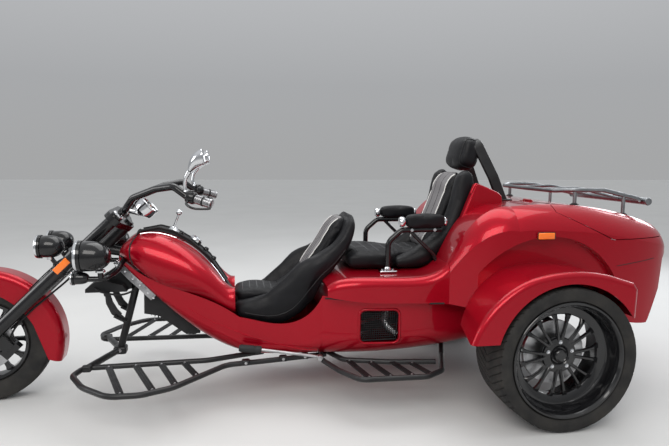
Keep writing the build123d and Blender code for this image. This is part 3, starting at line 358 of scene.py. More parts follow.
def unit(vector):
    vector = vec(*vector)
    return vector / np.linalg.norm(vector)


def polar(degrees):
    """Unit vectors outward and round at an angle in the plane of x and z."""
    a = math.radians(degrees)
    return vec(math.cos(a), 0, math.sin(a)), vec(-math.sin(a), 0, math.cos(a))


def soft_power(value, power):
    """A power that keeps the sign, for rounded square sections."""
    return math.copysign(abs(value) ** power, value)


def spline(points, steps):
    """A smooth line through the points, which are tuples of any length."""
    rows = [vec(*point) for point in points]
    line = []
    for i in range(len(rows) - 1):
        a, b = rows[i], rows[i + 1]
        before = rows[i - 1] if i else a - (b - a)
        after = rows[i + 2] if i + 2 < len(rows) else b + (b - a)
        slope_a, slope_b = (b - before) / 2, (after - a) / 2
        for t in (k / steps for k in range(steps)):
            line.append(
                a * (2 * t**3 - 3 * t**2 + 1) + slope_a * (t**3 - 2 * t**2 + t)
                + b * (3 * t**2 - 2 * t**3) + slope_b * (t**3 - t**2)
            )
    line.append(rows[-1])
    return line


def skin(rings, caps=True, loop=False, closed=True):
    """Quads between rings of equal length. loop joins the last ring to the first."""
    count = len(rings[0])
    verts = [point for ring in rings for point in ring]
    faces = []
    for i in range(len(rings) if loop else len(rings) - 1):
        j = (i + 1) % len(rings)
        for k in range(count if closed else count - 1):
            m = (k + 1) % count
            faces.append((i * count + k, i * count + m, j * count + m, j * count + k))
    if caps and not loop:
        faces.append(tuple(range(count))[::-1])
        faces.append(tuple((len(rings) - 1) * count + k for k in range(count)))
    return verts, faces


def across(direction):
    """Two unit vectors square to a direction."""
    ahead = unit(direction)
    first = unit(np.cross(ahead, Z if abs(ahead[2]) < 0.9 else X))
    return first, np.cross(ahead, first)


def tube(points, radius, sides=14, smooth=6, closed=False):
    """A round bar along a line. radius is one number, or one for each point."""
    radii = [radius] * len(points) if isinstance(radius, (int, float)) else radius
    rows = [(*point, r) for point, r in zip(points, radii)]
    if closed:
        rows = rows + [rows[0]]
    line = spline(rows, smooth) if smooth else [vec(*row) for row in rows]
    if closed:
        line = line[:-1]
    places = [row[:3] for row in line]
    rings, normal = [], None
    for i, point in enumerate(places):
        last = places[i - 1] if i or closed else point
        after = places[(i + 1) % len(places)] if i < len(places) - 1 or closed else point
        ahead = unit(after - last)
        normal = across(ahead)[0] if normal is None else unit(normal - ahead * np.dot(normal, ahead))
        side = np.cross(ahead, normal)
        angles = [2 * math.pi * k / sides for k in range(sides)]
        rings.append([point + line[i][3] * (math.cos(a) * normal + math.sin(a) * side) for a in angles])
    return skin(rings, caps=not closed, loop=closed)


def lathe(profile, centre, axis=Y, sides=48, closed=False):
    """A profile of (radius, distance along the axis) turned about an axis through centre."""
    ahead = unit(axis)
    first, second = across(axis)
    angles = [2 * math.pi * k / sides for k in range(sides)]
    rings = []
    for radius, along in profile:
        middle, reach = vec(*centre) + ahead * along, max(radius, 0.001)
        rings.append([middle + reach * (math.cos(a) * first + math.sin(a) * second) for a in angles])
    return skin(rings, caps=False, loop=closed)


def rounded_box(centre, size, bevel, turn=None):
    """A box with rounded edges. turn is a rotation matrix about its centre."""
    bm = bmesh.new()
    bmesh.ops.create_cube(bm, size=1)
    for vert in bm.verts:
        vert.co = Vector(c * s for c, s in zip(vert.co, size))
    bmesh.ops.bevel(bm, geom=bm.edges[:], offset=bevel, segments=3, profile=0.5, affect="EDGES")
    spin = Matrix.Identity(3) if turn is None else turn
    verts = [tuple(spin @ vert.co + Vector(centre)) for vert in bm.verts]
    bm.verts.index_update()
    faces = [tuple(vert.index for vert in face.verts) for face in bm.faces]
    bm.free()
    return verts, faces


def loft_bar(rows, corner=0.35):
    """A bar of rounded rectangular section: rows of centre, width vector and height vector."""
    rings = []
    for row in rows:
        c, w, h = (vec(*v) for v in row)
        ring = []
        for sx, sy in ((1, 1), (-1, 1), (-1, -1), (1, -1)):
            ends = [(sx, sy * (1 - corner)), (sx * (1 - corner), sy)]
            for a, b in ends if sx * sy > 0 else ends[::-1]:
                ring.append(c + w * a / 2 + h * b / 2)
        rings.append(ring)
    return skin(rings)


def pillow(centre, size, power, turn=None, rows=26, columns=40, plump=0.0):
    """A stuffed block with soft corners, a bulge on each face and a waist at its seam."""
    rings = []
    spin = np.array(Matrix.Identity(3) if turn is None else turn)
    half = vec(*size) / 2
    for v in (-math.pi / 2 + math.pi * i / rows for i in range(rows + 1)):
        wide, z = soft_power(math.cos(v), power), soft_power(math.sin(v), power)
        ring = []
        for u in (2 * math.pi * k / columns for k in range(columns)):
            x, y = wide * soft_power(math.cos(u), power), wide * soft_power(math.sin(u), power)
            swell = 1 + plump * math.cos(x * math.pi / 2) * math.cos(y * math.pi / 2)
            ring.append(spin @ (vec(x, y, z * swell) * half) + vec(*centre))
        rings.append(ring)
    return skin(rings, caps=False)


def rounded_outline(middles_x, middles_z, radii, steps):
    """Points round the four corner arcs of a rectangle, in x and z."""
    (x_low, x_high), (z_low, z_high) = middles_x, middles_z
    points = []
    for number, (x, z) in enumerate(((x_high, z_high), (x_low, z_high), (x_low, z_low), (x_high, z_low))):
        for k in range(steps + 1):
            a = math.radians(90 * number + 90 / steps * k)
            points.append((x + radii[0] * math.cos(a), z + radii[1] * math.sin(a)))
    return points


def make(name, shape, paints, body, replaces=(), angle=38):
    """Makes one piece of the scene from a shape, in place, on its body."""
    mesh = bpy.data.meshes.new(name)
    mesh.from_pydata([place(*v) for v in shape.verts], [], shape.faces)
    for paint in paints:
        mesh.materials.append(PAINT[paint])
    mesh.polygons.foreach_set("material_index", shape.paints)
    bm = bmesh.new()
    bm.from_mesh(mesh)
    bmesh.ops.remove_doubles(bm, verts=bm.verts, dist=MERGE / 1000)
    bmesh.ops.dissolve_degenerate(bm, edges=bm.edges, dist=MERGE / 4000)
    bmesh.ops.recalc_face_normals(bm, faces=bm.faces)
    bm.to_mesh(mesh)
    bm.free()
    mesh.polygons.foreach_set("use_smooth", [True] * len(mesh.polygons))
    mesh.set_sharp_from_angle(angle=math.radians(angle))
    piece = put(name, mesh)
    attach(piece, body)
    if replaces:
        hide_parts(*replaces)
    return piece


def mesh_tree(*meshes):
    """A search tree over meshes, in the frame's metres."""
    verts, faces = [], []
    for mesh in meshes:
        start = len(verts)
        verts += [v.co.copy() for v in mesh.vertices]
        faces += [tuple(start + i for i in face.vertices) for face in mesh.polygons]
    return BVHTree.FromPolygons(verts, faces)


def node_tree(*names):
    return mesh_tree(*(nodes[name].data for name in names))


def on_side(tree, x, z, side=1, proud=0.0):
    """The point where the body's left or right side stands at x and z."""
    hit = tree.ray_cast(place(x, side * FAR, z), Vector((0, -side, 0)))[0]
    return None if hit is None else (x, hit.y * 1000 + side * proud, z)


def on_top(tree, x, y, proud=0.0):
    hit = tree.ray_cast(place(x, y, FAR), Vector(DOWN))[0]
    return None if hit is None else (x, y, hit.z * 1000 + proud)


def seam(tree, line, radius, side, proud=0.0):
    """A thin bead that follows the body's side along points of x and z."""
    points = [on_side(tree, x, z, side, proud) for x, z in spline(line, 8)]
    return tube([p for p in points if p], radius, 8, smooth=0)


# Wheels

GROOVE_DEPTH = 6
GROOVE_HALF = 4
# Shares of one pitch of the tread, from one cross groove to the next
PITCH_CUTS = (0.0, 0.05, 0.17, 0.22, 0.5, 0.78)


def tread_tyre(name, node, body, centre, radius, width, bead_r, bead_half, ribs, pitches, slant):
    """A tyre whose tread has running grooves and slanted cross grooves."""
    half = width / 2
    crown = radius * 0.011
    tread_half = half - 7
    wall = [
        (bead_r, bead_half - 6), (bead_r + 3, bead_half + 4), (bead_r + 10, bead_half + 6),
        (bead_r + 13, bead_half + 3),
    ]
    for t in (k / 6 for k in range(7)):
        bulge = math.sin(math.pi * (0.16 + 0.42 * t)) ** 0.55
        reach = (radius - crown - 14 - bead_r - 18) * t
        wall.append((bead_r + 18 + reach, bead_half + (half - bead_half) * bulge))
    wall.append((radius - crown - 6, tread_half + 5))
    edges = [rib + side * GROOVE_HALF for rib in ribs for side in (-1, 1)]
    stations = [tread_half, *sorted(edges, reverse=True), 0.0]
    fine = []
    for outer, inner in zip(stations, stations[1:]):
        parts = max(1, round((outer - inner) / 14))
        fine += [outer + (inner - outer) * k / parts for k in range(parts)]
    fine.append(0.0)
    rows = [(r, y, False) for r, y in wall]
    rows += [(radius - crown * (y / half) ** 2 * 1.6, y, True) for y in fine]
    rows = rows + [(r, -y, is_tread) for r, y, is_tread in rows[-2::-1]] + [(bead_r, 0.0, False)]
    rings = []
    for r, y, is_tread in rows:
        steps = [abs(abs(y) - rib) for rib in ribs]
        on_edge = any(abs(step - GROOVE_HALF) < 0.01 for step in steps)
        in_groove = is_tread and min(steps) < GROOVE_HALF + 0.1 and not on_edge
        ring = []
        for pitch in range(pitches):
            for number, cut in enumerate(PITCH_CUTS):
                angle = 2 * math.pi * (pitch + cut) / pitches + slant * abs(y) / radius
                depth = GROOVE_DEPTH if in_groove else 0.0
                if is_tread and number in (1, 2) and abs(y) > 9:
                    depth = max(depth, GROOVE_DEPTH * 0.8)
                ring.append((math.cos(angle) * (r - depth), y, math.sin(angle) * (r - depth)))
        rings.append(ring)
    form = Shape().add(skin(rings, caps=False, loop=True))
    make(name, form.moved(*centre), ["tyre"], body, (node,), angle=30)


def rear_rim_shape():
    """The deep dished rear rim: barrel and lips, eight pairs of spokes, hub, cap, nuts and valve."""
    form = Shape()
    middle = (0, 0, 0)
    lip, seat, inner = 284, 273, 264
    barrel = [
        (inner, -136), (lip - 2, -141), (lip, -139), (lip, -134), (seat, -127), (seat, 127), (lip, 133),
        (lip, 139), (lip - 3, 142), (inner + 9, 141), (inner + 4, 134), (inner - 2, 126), (inner - 4, 96),
        (inner - 10, 70), (inner - 20, 56), (212, 50), (204, 44), (204, 24), (inner - 20, 18),
        (inner - 14, -60), (inner - 4, -110),
    ]
    form.add(lathe(barrel, middle, sides=120, closed=True))
    hub = [(0, -50), (64, -50), (66, 20), (88, 32), (90, 42), (86, 50), (52, 54), (46, 50), (40, 44), (0, 44)]
    form.add(lathe(hub, middle, sides=64))
    form.add(lathe([(34, 44), (34, 60), (31, 66), (26, 69), (23, 66), (0, 66)], middle))
    form.add(lathe([(60, -30), (160, -30), (160, -8), (60, -8)], middle, sides=96, closed=True), 1)
    for n in range(8):
        for side in (-1, 1):
            rows = []
            for r, y, spread, wide, deep in (
                (62, 38, 6.5, 22, 22), (86, 44, 7.2, 17, 22), (130, 48, 8.2, 13.5, 19), (170, 49, 9.2, 14, 19),
                (194, 46, 10.2, 20, 24), (208, 40, 10.8, 30, 22),
            ):
                out, turn = polar(n * 45 + side * spread)
                rows.append((out * r + (0, y, 0), turn * wide, vec(0, deep, 0) - out * deep * 0.1))
            form.add(loft_bar(rows))
    for n in range(5):
        at = polar(n * 72 + 18)[0] * 66 + (0, 52, 0)
        form.add(lathe([(12, 0.8), (12, -1), (9, -2), (0, -2)], at, sides=20))
        form.bolt(at, Y, 7.5, 2)
    form.add(tube([(238, 60, 60), (232, 82, 56), (226, 96, 54)], [3.6, 3.0, 2.8], 10), 2)
    return form


def front_rim_shape():
    """The front wheel: a flat disc wheel with twelve windows, hub, brake disc and its carrier."""
    form = Shape()
    middle = (0, 0, 0)
    lip, seat, inner = 213, 204, 196
    barrel = [
        (inner, -52), (lip - 2, -56), (lip, -54), (lip, -50), (seat, -44), (seat, 44), (lip, 50), (lip, 54),
        (lip - 2, 56), (inner, 52), (inner - 4, 40), (inner - 10, 10), (inner - 10, -10), (inner - 4, -40),
    ]
    form.add(lathe(barrel, middle, sides=96, closed=True))
    for n in range(12):
        out, turn = polar(n * 30)
        rows = ((46, 30, 34), (80, 22, 26), (130, 20, 22), (170, 24, 22), (192, 42, 26))
        form.add(loft_bar([(out * r, turn * wide, (0, deep, 0)) for r, wide, deep in rows], 0.3))
    hub = [(14, -60), (34, -60), (38, -54), (38, -30), (62, -24), (64, 0)]
    hub += [(62, 24), (38, 30), (38, 54), (34, 60), (14, 60)]
    form.add(lathe(hub, middle, sides=64))
    form.add(lathe([(84, 18), (92, 14), (92, -14), (84, -18)], middle, sides=72, closed=True))
    form.add(lathe([(98, 54.2), (145, 54.2), (145, 59.8), (98, 59.8)], middle, sides=96, closed=True), 1)
    for n in range(6):
        out, turn = polar(n * 60 + 15)
        rows = [(out * 34 + (0, 52, 0), turn * 20, (0, 5, 0)), (out * 106 + (0, 57, 0), turn * 12, (0, 5, 0))]
        form.add(loft_bar(rows), 1)
        form.bolt(out * 100 + (0, 59.5, 0), Y, 4.5, 1)
    return form


def wheels():
    for side, word in ((1, "left"), (-1, "right")):
        centre, body = (0, side * REAR_TRACK, REAR_TYRE_R), f"rear_wheel_{word}"
        tread_tyre(f"rear_tread_{word}", f"rear_tyre_{word}", body, centre, REAR_TYRE_R, 290, 273, 121,
                   (26, 74), 58, 0.55)
        rim = rear_rim_shape() if side > 0 else rear_rim_shape().mirrored()
        make(f"{body}_alloy", rim.moved(*centre), ["rim", "steel", "chrome"], body,
             (f"rear_rim_{word}",), angle=35)
    centre = (WHEELBASE, 0, FRONT_TYRE_R)
    tread_tyre("front_tread", "front_tyre", "front_wheel", centre, FRONT_TYRE_R, 130, 205, 40, (16,), 48, 0.9)
    make("front_wheel_alloy", front_rim_shape().moved(*centre), ["rim", "steel"], "front_wheel",
         ("front_rim",), angle=35)


# Seats

PRESSURE = 4.0
STUFFING_FRAMES = 20
RIDER_GAZE = (-0.86, 0, -0.5)
PASSENGER_GAZE = (-0.93, 0, -0.36)


def heading(line, i):
    """The direction of a side profile at one of its points, as x and z."""
    last, after = line[max(i - 1, 0)], line[min(i + 1, len(line) - 1)]
    return unit((after[0] - last[0], after[1] - last[1]))


def bucket_form(rows):
    """A bucket shape swept along its side profile. Each row: x, z, half width, height over the path,
    depth under it, width of the side roll, and how far the middle lies below the roll."""
    line = spline(rows, 6)
    rings = []
    for i, (x, z, half, up, down, roll, dip) in enumerate(line):
        tx, tz = heading(line, i)
        valley, floor = half - roll, up - dip
        outline = spline([
            (0, -down), (half * 0.55, -down), (half - 26, -down + 3), (half - 7, -down * 0.62),
            (half, -down * 0.1 + up * 0.1), (half - 2, up * 0.45), (half - roll * 0.16, up * 0.82),
            (half - roll * 0.42, up), (half - roll * 0.72, up * 0.90 - dip * 0.18),
            (valley + 5, up - dip * 0.86), (valley, floor - 3),
        ], 3)
        outline += spline([
            (valley - 6, floor + 2), (valley * 0.78, floor + 9), (valley * 0.4, floor + 14), (0, floor + 15),
        ], 3)
        ring = [(x + tz * h, y, z - tx * h) for y, h in outline]
        rings.append(ring + [(x + tz * h, -y, z - tx * h) for y, h in outline[-2:0:-1]])
    return skin(rings)


def swept(rows, power, middle=0.0):
    """A stuffed roll along a side profile. Each row: x, z, half width, height over and depth under."""
    line = spline(rows, 6)
    rings = []
    for i, (x, z, half, up, down) in enumerate(line):
        tx, tz = heading(line, i)
        ring = []
        for a in (2 * math.pi * k / 44 for k in range(44)):
            rise = soft_power(math.sin(a), power)
            h = (up if rise > 0 else down) * rise
            ring.append((x + tz * h, middle + half * soft_power(math.cos(a), power), z - tx * h))
        rings.append(ring)
    return skin(rings)


def stuff(piece, voxel, cap):
    """Fills a soft piece: an even skin, swollen as cloth under pressure, held to a largest move."""
    scene = bpy.context.scene
    even = piece.modifiers.new("even", "REMESH")
    even.mode = "VOXEL"
    even.voxel_size = voxel / 1000
    even.use_smooth_shade = True
    depsgraph = bpy.context.evaluated_depsgraph_get()
    mesh = bpy.data.meshes.new_from_object(piece.evaluated_get(depsgraph))
    piece.modifiers.clear()
    piece.data = mesh
    start = np.empty(len(mesh.vertices) * 3)
    mesh.vertices.foreach_get("co", start)
    cloth = piece.modifiers.new("stuffing", "CLOTH")
    for key, value in (
        ("quality", 4), ("mass", 0.35), ("tension_stiffness", 18), ("compression_stiffness", 18),
        ("shear_stiffness", 8), ("bending_stiffness", 0.6), ("use_pressure", True),
        ("uniform_pressure_force", PRESSURE),
    ):
        setattr(cloth.settings, key, value)
    cloth.settings.effector_weights.gravity = 0
    cloth.point_cache.frame_start, cloth.point_cache.frame_end = 1, STUFFING_FRAMES
    for moment in range(1, STUFFING_FRAMES + 1):
        scene.frame_set(moment)
    depsgraph = bpy.context.evaluated_depsgraph_get()
    swollen = np.empty_like(start)
    piece.evaluated_get(depsgraph).data.vertices.foreach_get("co", swollen)
    piece.modifiers.clear()
    scene.frame_set(1)
    move = (swollen - start).reshape(-1, 3)
    length = np.linalg.norm(move, axis=1)
    scale = np.minimum(1.0, cap / 1000 / np.maximum(length, 1e-9))
    mesh.vertices.foreach_set("co", (start.reshape(-1, 3) + move * scale[:, None]).ravel())
    mesh.update()
    mesh.polygons.foreach_set("use_smooth", [True] * len(mesh.polygons))


def soft(name, form, paint, replaces, voxel, cap, front=None):
    """A stuffed piece. front is the half width of a grey front band; the rest is then black leather."""
    shape = Shape().add(form) if isinstance(form, tuple) else form
    piece = make(name, shape, [paint], "chassis", replaces, angle=180)
    stuff(piece, voxel, cap)
    if front:
        piece.data.materials.append(PAINT["leather"])
        for face in piece.data.polygons:
            face.material_index = int(abs(face.center.y) * 1000 > front or face.normal.x < -0.1)
    return mesh_tree(piece.data)


def laid(tree, starts, direction, proud=0.0):
    """Points where rays from the starts meet a piece, lifted a little against the rays."""
    ahead = Vector(direction).normalized()
    points = []
    for start in starts:
        hit = tree.ray_cast(place(*start), ahead)[0]
        if hit is not None:
            spot = hit - ahead * proud / 1000
            points.append((spot.x * 1000 + REAR_TO_MIDDLE, spot.y * 1000, spot.z * 1000))
    return points


def line_between(a, b, count):
    a, b = vec(*a), vec(*b)
    return [tuple(a + (b - a) * k / count) for k in range(count + 1)]


def furrows(tree, height, count, rows):
    """Lines across a cushion from side to side, one for each row of x and half width."""
    return [
        laid(tree, line_between((x, -half, height), (x, half, height), count), DOWN, -0.5) for x, half in rows
    ]


def stripes(tree, low, high, count, gaze, sides, proud):
    """Lines up a back pad, one for each distance from its middle. low and high are x and z."""
    return [
        laid(tree, line_between((low[0], y, low[1]), (high[0], y, high[1]), count), gaze, proud) for y in sides
    ]


def beads(name, lines, paint, radius):
    form = Shape()
    for points in lines:
        if len(points) > 2:
            form.add(tube(points, radius, 8, 2))
    make(name, form, [paint], "chassis", angle=60)


def rider_seat():
    bucket = soft("rider_bucket", bucket_form([
        (1556, 490, 150, 12, 12, 66, 4), (1540, 492, 196, 34, 34, 74, 14), (1505, 486, 214, 50, 50, 80, 24),
        (1420, 483, 222, 73, 72, 84, 40), (1325, 500, 226, 100, 96, 86, 60), (1218, 570, 228, 112, 94, 86, 78),
        (1135, 660, 228, 100, 74, 84, 74), (1055, 738, 224, 62, 60, 80, 44), (992, 806, 216, 36, 50, 74, 22),
        (948, 872, 208, 24, 42, 70, 14), (920, 940, 190, 18, 32, 64, 9), (907, 978, 150, 8, 16, 58, 4),
        (903, 990, 110, 3, 5, 54, 1),
    ]), "leather", ("rider_seat",), 7.0, 7.0)
    base = soft("rider_base_pad", swept([
        (1548, 540, 60, 6, 6), (1540, 543, 116, 28, 26), (1495, 543, 134, 36, 40), (1420, 541, 140, 38, 44),
        (1330, 530, 140, 38, 44), (1252, 545, 138, 36, 44), (1198, 590, 128, 32, 40), (1180, 620, 90, 8, 8),
    ], 0.5), "leather", (), 5.0, 6.0)
    back = soft("rider_back_pad", swept([
        (1168, 642, 96, 6, 6), (1152, 662, 120, 26, 24), (1098, 732, 126, 36, 40), (1048, 802, 126, 38, 44),
        (1008, 872, 124, 36, 44), (970, 932, 116, 32, 40), (948, 962, 96, 18, 22), (942, 970, 60, 6, 6),
    ], 0.5), "insert", (), 5.0, 6.0, front=92)
    lines = furrows(base, 800, 14, [(x, 112) for x in range(1510, 1269, -40)])
    panel = (back, (1360, 800), (1180, 1080), 24, RIDER_GAZE)
    beads("rider_stitching", lines + stripes(*panel, (-40, 0, 40), -0.6), "gloss_black", 2.2)
    beads("rider_piping", stripes(*panel, (-92, 92), 1.0), "white_cord", 3.0)
    edge = ((1500, 470), (1420, 455), (1330, 452), (1240, 490), (1165, 575), (1090, 660), (1010, 730),
            (950, 800))
    welt = [laid(bucket, [(x, side * 600, z) for x, z in edge], (0, -side, 0), 0.2) for side in (-1, 1)]
    beads("rider_welt", welt, "satin_black", 2.4)


def passenger_seat():
    bolsters = Shape().add(swept([
        (668, 714, 20, 6, 8), (655, 717, 42, 26, 24), (585, 730, 50, 42, 40), (492, 764, 52, 62, 58),
        (412, 848, 52, 46, 64), (350, 948, 50, 38, 62), (303, 1050, 48, 44, 60), (274, 1140, 46, 52, 56),
        (260, 1198, 42, 46, 42), (256, 1226, 30, 24, 22), (255, 1236, 12, 6, 6),
    ], 0.62, 184))
    soft("passenger_bolsters", bolsters.pair(), "leather", ("passenger_backrest",), 6.0, 8.0)
    cushion = soft("passenger_cushion", swept([
        (946, 732, 120, 8, 8), (938, 733, 200, 32, 28), (900, 736, 228, 50, 42), (800, 736, 232, 52, 44),
        (705, 733, 230, 48, 42), (652, 734, 186, 44, 42), (600, 738, 146, 42, 44), (500, 748, 142, 38, 48),
        (446, 758, 136, 26, 46), (430, 764, 96, 8, 8),
    ], 0.45), "leather", ("passenger_seat",), 6.0, 8.0)
    back = soft("passenger_back_pad", swept([
        (482, 790, 100, 8, 8), (470, 808, 132, 26, 26), (424, 860, 138, 36, 44), (386, 930, 140, 36, 50),
        (352, 1010, 140, 36, 52), (322, 1090, 138, 38, 50), (296, 1160, 132, 42, 46), (276, 1206, 112, 30, 32),
        (268, 1226, 70, 8, 8),
    ], 0.5), "insert", (), 5.0, 7.0, front=104)
    rows = ((880, 190), (820, 196), (760, 196), (700, 190), (640, 130), (590, 118), (540, 118), (490, 112))
    lines = furrows(cushion, 1000, 16, rows)
    panel = (back, (760, 930), (600, 1330), 26, PASSENGER_GAZE)
    beads("passenger_stitching", lines + stripes(*panel, (-42, 42), -0.6), "gloss_black", 2.2)
    beads("passenger_piping", stripes(*panel, (-104, 104), 1.2), "white_cord", 3.6)


def rest_pads():
    centre = (204, 0, 1332)
    tilt = Matrix.Rotation(math.radians(-16), 3, "Y")
    head = soft("headrest_pad", pillow(centre, (124, 262, 178), 0.52, tilt, 30, 48, 0.12), "leather",
                ("headrest",), 5.0, 6.0)
    rings = []
    for y in (-104, 104):
        points = []
        for k in range(48):
            out = polar(360 * k / 48)[0]
            points += laid(head, [vec(*centre) + (0, y, 0) + out * 300], -out, 0.6)
        rings.append(points + points[:1])
    beads("headrest_piping", rings, "satin_black", 2.6)
    pads = Shape().add(pillow((522, 272, 962), (222, 62, 76), 0.5, None, 20, 36)).pair()
    soft("armrest_cushions", pads, "leather", ("armrest_pads",), 5.0, 4.0)


# Lamps

def lamp_form(back, radius, length, shell_bulge=0.5, lens_paint=2):
    """A bullet lamp along +X from its back point: painted shell, chrome ring, domed lens."""
    form = Shape()
    shell = [(0, 0)]
    for a in (math.pi / 2 * k / 8 for k in range(1, 9)):
        shell.append((radius * math.sin(a) ** 0.8, length * shell_bulge * (1 - math.cos(a))))
    shell += [(radius, length * 0.78), (radius * 0.97, length * 0.80)]
    rim = [(radius * 0.96, length * 0.80), (radius + 3, length * 0.80), (radius + 4, length * 0.85),
           (radius + 3, length * 0.90), (radius * 0.95, length * 0.92), (radius * 0.90, length * 0.92)]
    lip = [(radius * 0.92, length * 0.90), (radius + 3.6, length * 0.90), (radius + 4, length * 0.94),
           (radius + 1, length * 0.98), (radius * 0.92, length * 0.975)]
    lens = [(radius * 0.91, length * 0.95), (radius * 0.7, length * 0.98), (radius * 0.35, length),
            (0, length)]
    for profile, paint in ((shell, 0), (rim, 0), (lip, 1), (lens, lens_paint)):
        form.add(lathe(profile, back, X, 48, closed=profile is lip), paint)
    return form


def lamps():
    form = lamp_form((2430, 96, 832), 58, 134)
    form.add(tube([(2500, 96, 782), (2484, 96, 756), (2470, 96, 740)], 11, 16))
    form.add(lathe([(0, 0), (16, 0), (16, 20), (12, 24), (0, 24)], (2500, 96, 764), Z, 24), 1)
    form.pair()
    form.add(tube([(2470, -116, 738), (2470, 116, 738)], 13, 20, smooth=0))
    make("fork_lamp_pair", form, ["gloss_black", "chrome", "lens"], "steering", ("fork_lamps",))
    form = lamp_form((2163, 275, 806), 76, 168, 0.58)
    form.join(lamp_form((2268, 275, 696), 31, 88, lens_paint=3))
    form.add(tube([(2138, 84, 748), (2160, 170, 704), (2200, 262, 690), (2290, 275, 690)], 14, 20))
    form.add(tube([(2215, 275, 694), (2215, 275, 742)], 14, 20, smooth=0))
    form.add(lathe([(0, 0), (24, 0), (24, 8), (18, 14), (0, 14)], (2215, 275, 724), Z, 24), 1)
    make("head_lamp_pair", form.pair(), ["gloss_black", "chrome", "lens", "amber"], "chassis",
         ("frame_lamps",))


# Steering pieces

def gauge():
    centre, tilt = vec(2028, 0, 1018), (-0.72, 0, 0.69)
    axis, (first, second) = unit(tilt), across(tilt)
    form = Shape()
    bowl = [(0, -46), (18, -46), (24, -40), (40, -34), (54, -22), (57, -4), (57, 22), (61, 25), (61, 33),
            (56, 36), (53, 33), (52, 30)]
    form.add(lathe(bowl, centre, tilt, 64))
    form.add(lathe([(52, 28), (26, 28), (0, 28)], centre, tilt, 64), 1)
    form.add(lathe([(6, 28), (6, 31), (4, 32), (0, 32)], centre, tilt, 20), 2)

    def mark(degrees, lift, ends, deep, paint):
        a = math.radians(degrees)
        out = math.cos(a) * first + math.sin(a) * second
        at, turn = centre + axis * lift, np.cross(axis, out)
        form.add(loft_bar([(at + out * r, turn * wide, axis * deep) for r, wide in ends]), paint)

    for k in range(25):
        mark(k * 10 - 30, 28.6, ((43 if k % 4 else 39, 1.6), (48, 1.6)), 0.8, 2)
    mark(40, 31, ((-8, 4), (40, 1.2)), 1, 3)
    form.add(tube([(2060, 0, 990), (2086, 0, 998), (2118, 0, 1006)], 12, 16))
    make("round_gauge", form, ["chrome", "moulded", "white_cord", "amber"], "steering",
         ("instrument",))


def grips():
    form = Shape()
    inner, end = vec(1787, 300, 1106), vec(1661, 352, 1068)
    ahead = unit(end - inner)
    start = inner + ahead * 7
    length = np.linalg.norm(end - start)
    form.add(lathe([(19, 0), (30, 0), (32, 4), (32, 38), (29, 42), (21, 43)], start, ahead, 32))
    ribs = [(19, 43)]
    for along in (46 + (length - 60) * k / 22 for k in range(22)):
        ribs += [(23.5, along), (23.5, along + 2.6), (21.8, along + 3.0), (21.8, along + 4.4)]
    ribs += [(25, length - 10), (25, length), (17, length + 3), (0, length + 3)]
    form.add(lathe(ribs, start, ahead, 32), 3)
    for band in (length * 0.28, length * 0.62):
        ring = [(22, band), (25.2, band), (25.2, band + 9), (22, band + 9)]
        form.add(lathe(ring, start, ahead, 32, closed=True), 1)
    lever = ((20, (10, 12, -8)), (34, (34, 34, -26)), (80, (40, 50, -32)), (136, (30, 40, -20)),
             (152, (22, 34, -12)))
    form.add(tube([start + ahead * along + offset for along, offset in lever], [7, 6.5, 6, 5.5, 7.5]))
    form.bolt(start + ahead * 22 + (12, 12, 6), (0.3, 0.2, 0.9), 6, 2)
    form.add(rounded_box(start + ahead * 20 + (0, 0, 30), (30, 26, 12), 4))
    form.add(rounded_box(start + ahead * 20 + (-26, 6, 4), (10, 16, 18), 3), 2)
    make("bar_grips", form.pair(), ["gloss_black", "moulded", "chrome", "silver"], "steering",
         ("hand_controls",))


def mirrors():
    """Teardrop cups on curved stems, their glass turned to the rider."""
    glass_at, neck_at = vec(1706, 318, 1300), vec(1768, 313, 1232)
    slope, facing = unit(neck_at - glass_at), unit((-1, 0, 0.15))

    def ring(at, wide, high, square_to=-facing, power=0.72):
        upward = unit(np.cross(Y, square_to))
        return [
            at + (0, soft_power(math.cos(a), power) * wide, 0) + upward * soft_power(math.sin(a), power) * high
            for a in (2 * math.pi * k / 40 for k in range(40))
        ]

    cup = []
    for t in (k / 8 for k in range(9)):
        shrink = 1 - 0.72 * t ** 1.7
        at = glass_at + (neck_at - glass_at) * t + vec(6, 0, 8) * math.sin(math.pi * t)
        cup.append(ring(at, 60 * shrink, 42 * shrink, unit(-facing * (1 - t) + slope * t), 0.72 + 0.28 * t))
    bezel = ((1.0, 0), (1.06, 2), (1.06, 6), (1.0, 9), (0.93, 7))
    glass = ((6, 57, 40), (7.5, 40, 27), (8, 8, 5))
    form = Shape().add(skin(cup))
    form.add(skin([ring(glass_at + facing * along, 60 * s, 42 * s) for s, along in bezel], caps=False))
    form.add(skin([ring(glass_at + facing * along, wide, high) for along, wide, high in glass]))
    stem = [(1790, 298, 1130), (1794, 300, 1160), (1788, 305, 1196), (1768, 312, 1230)]
    form.add(tube(stem, [9, 9, 10, 15], 16))
    form.add(lathe([(0, 0), (11, 0), (11, 10), (8, 14), (0, 14)], (1790, 298, 1122), Z, 20))
    make("mirror_pair", form.pair(), ["chrome"], "steering", ("mirrors",))


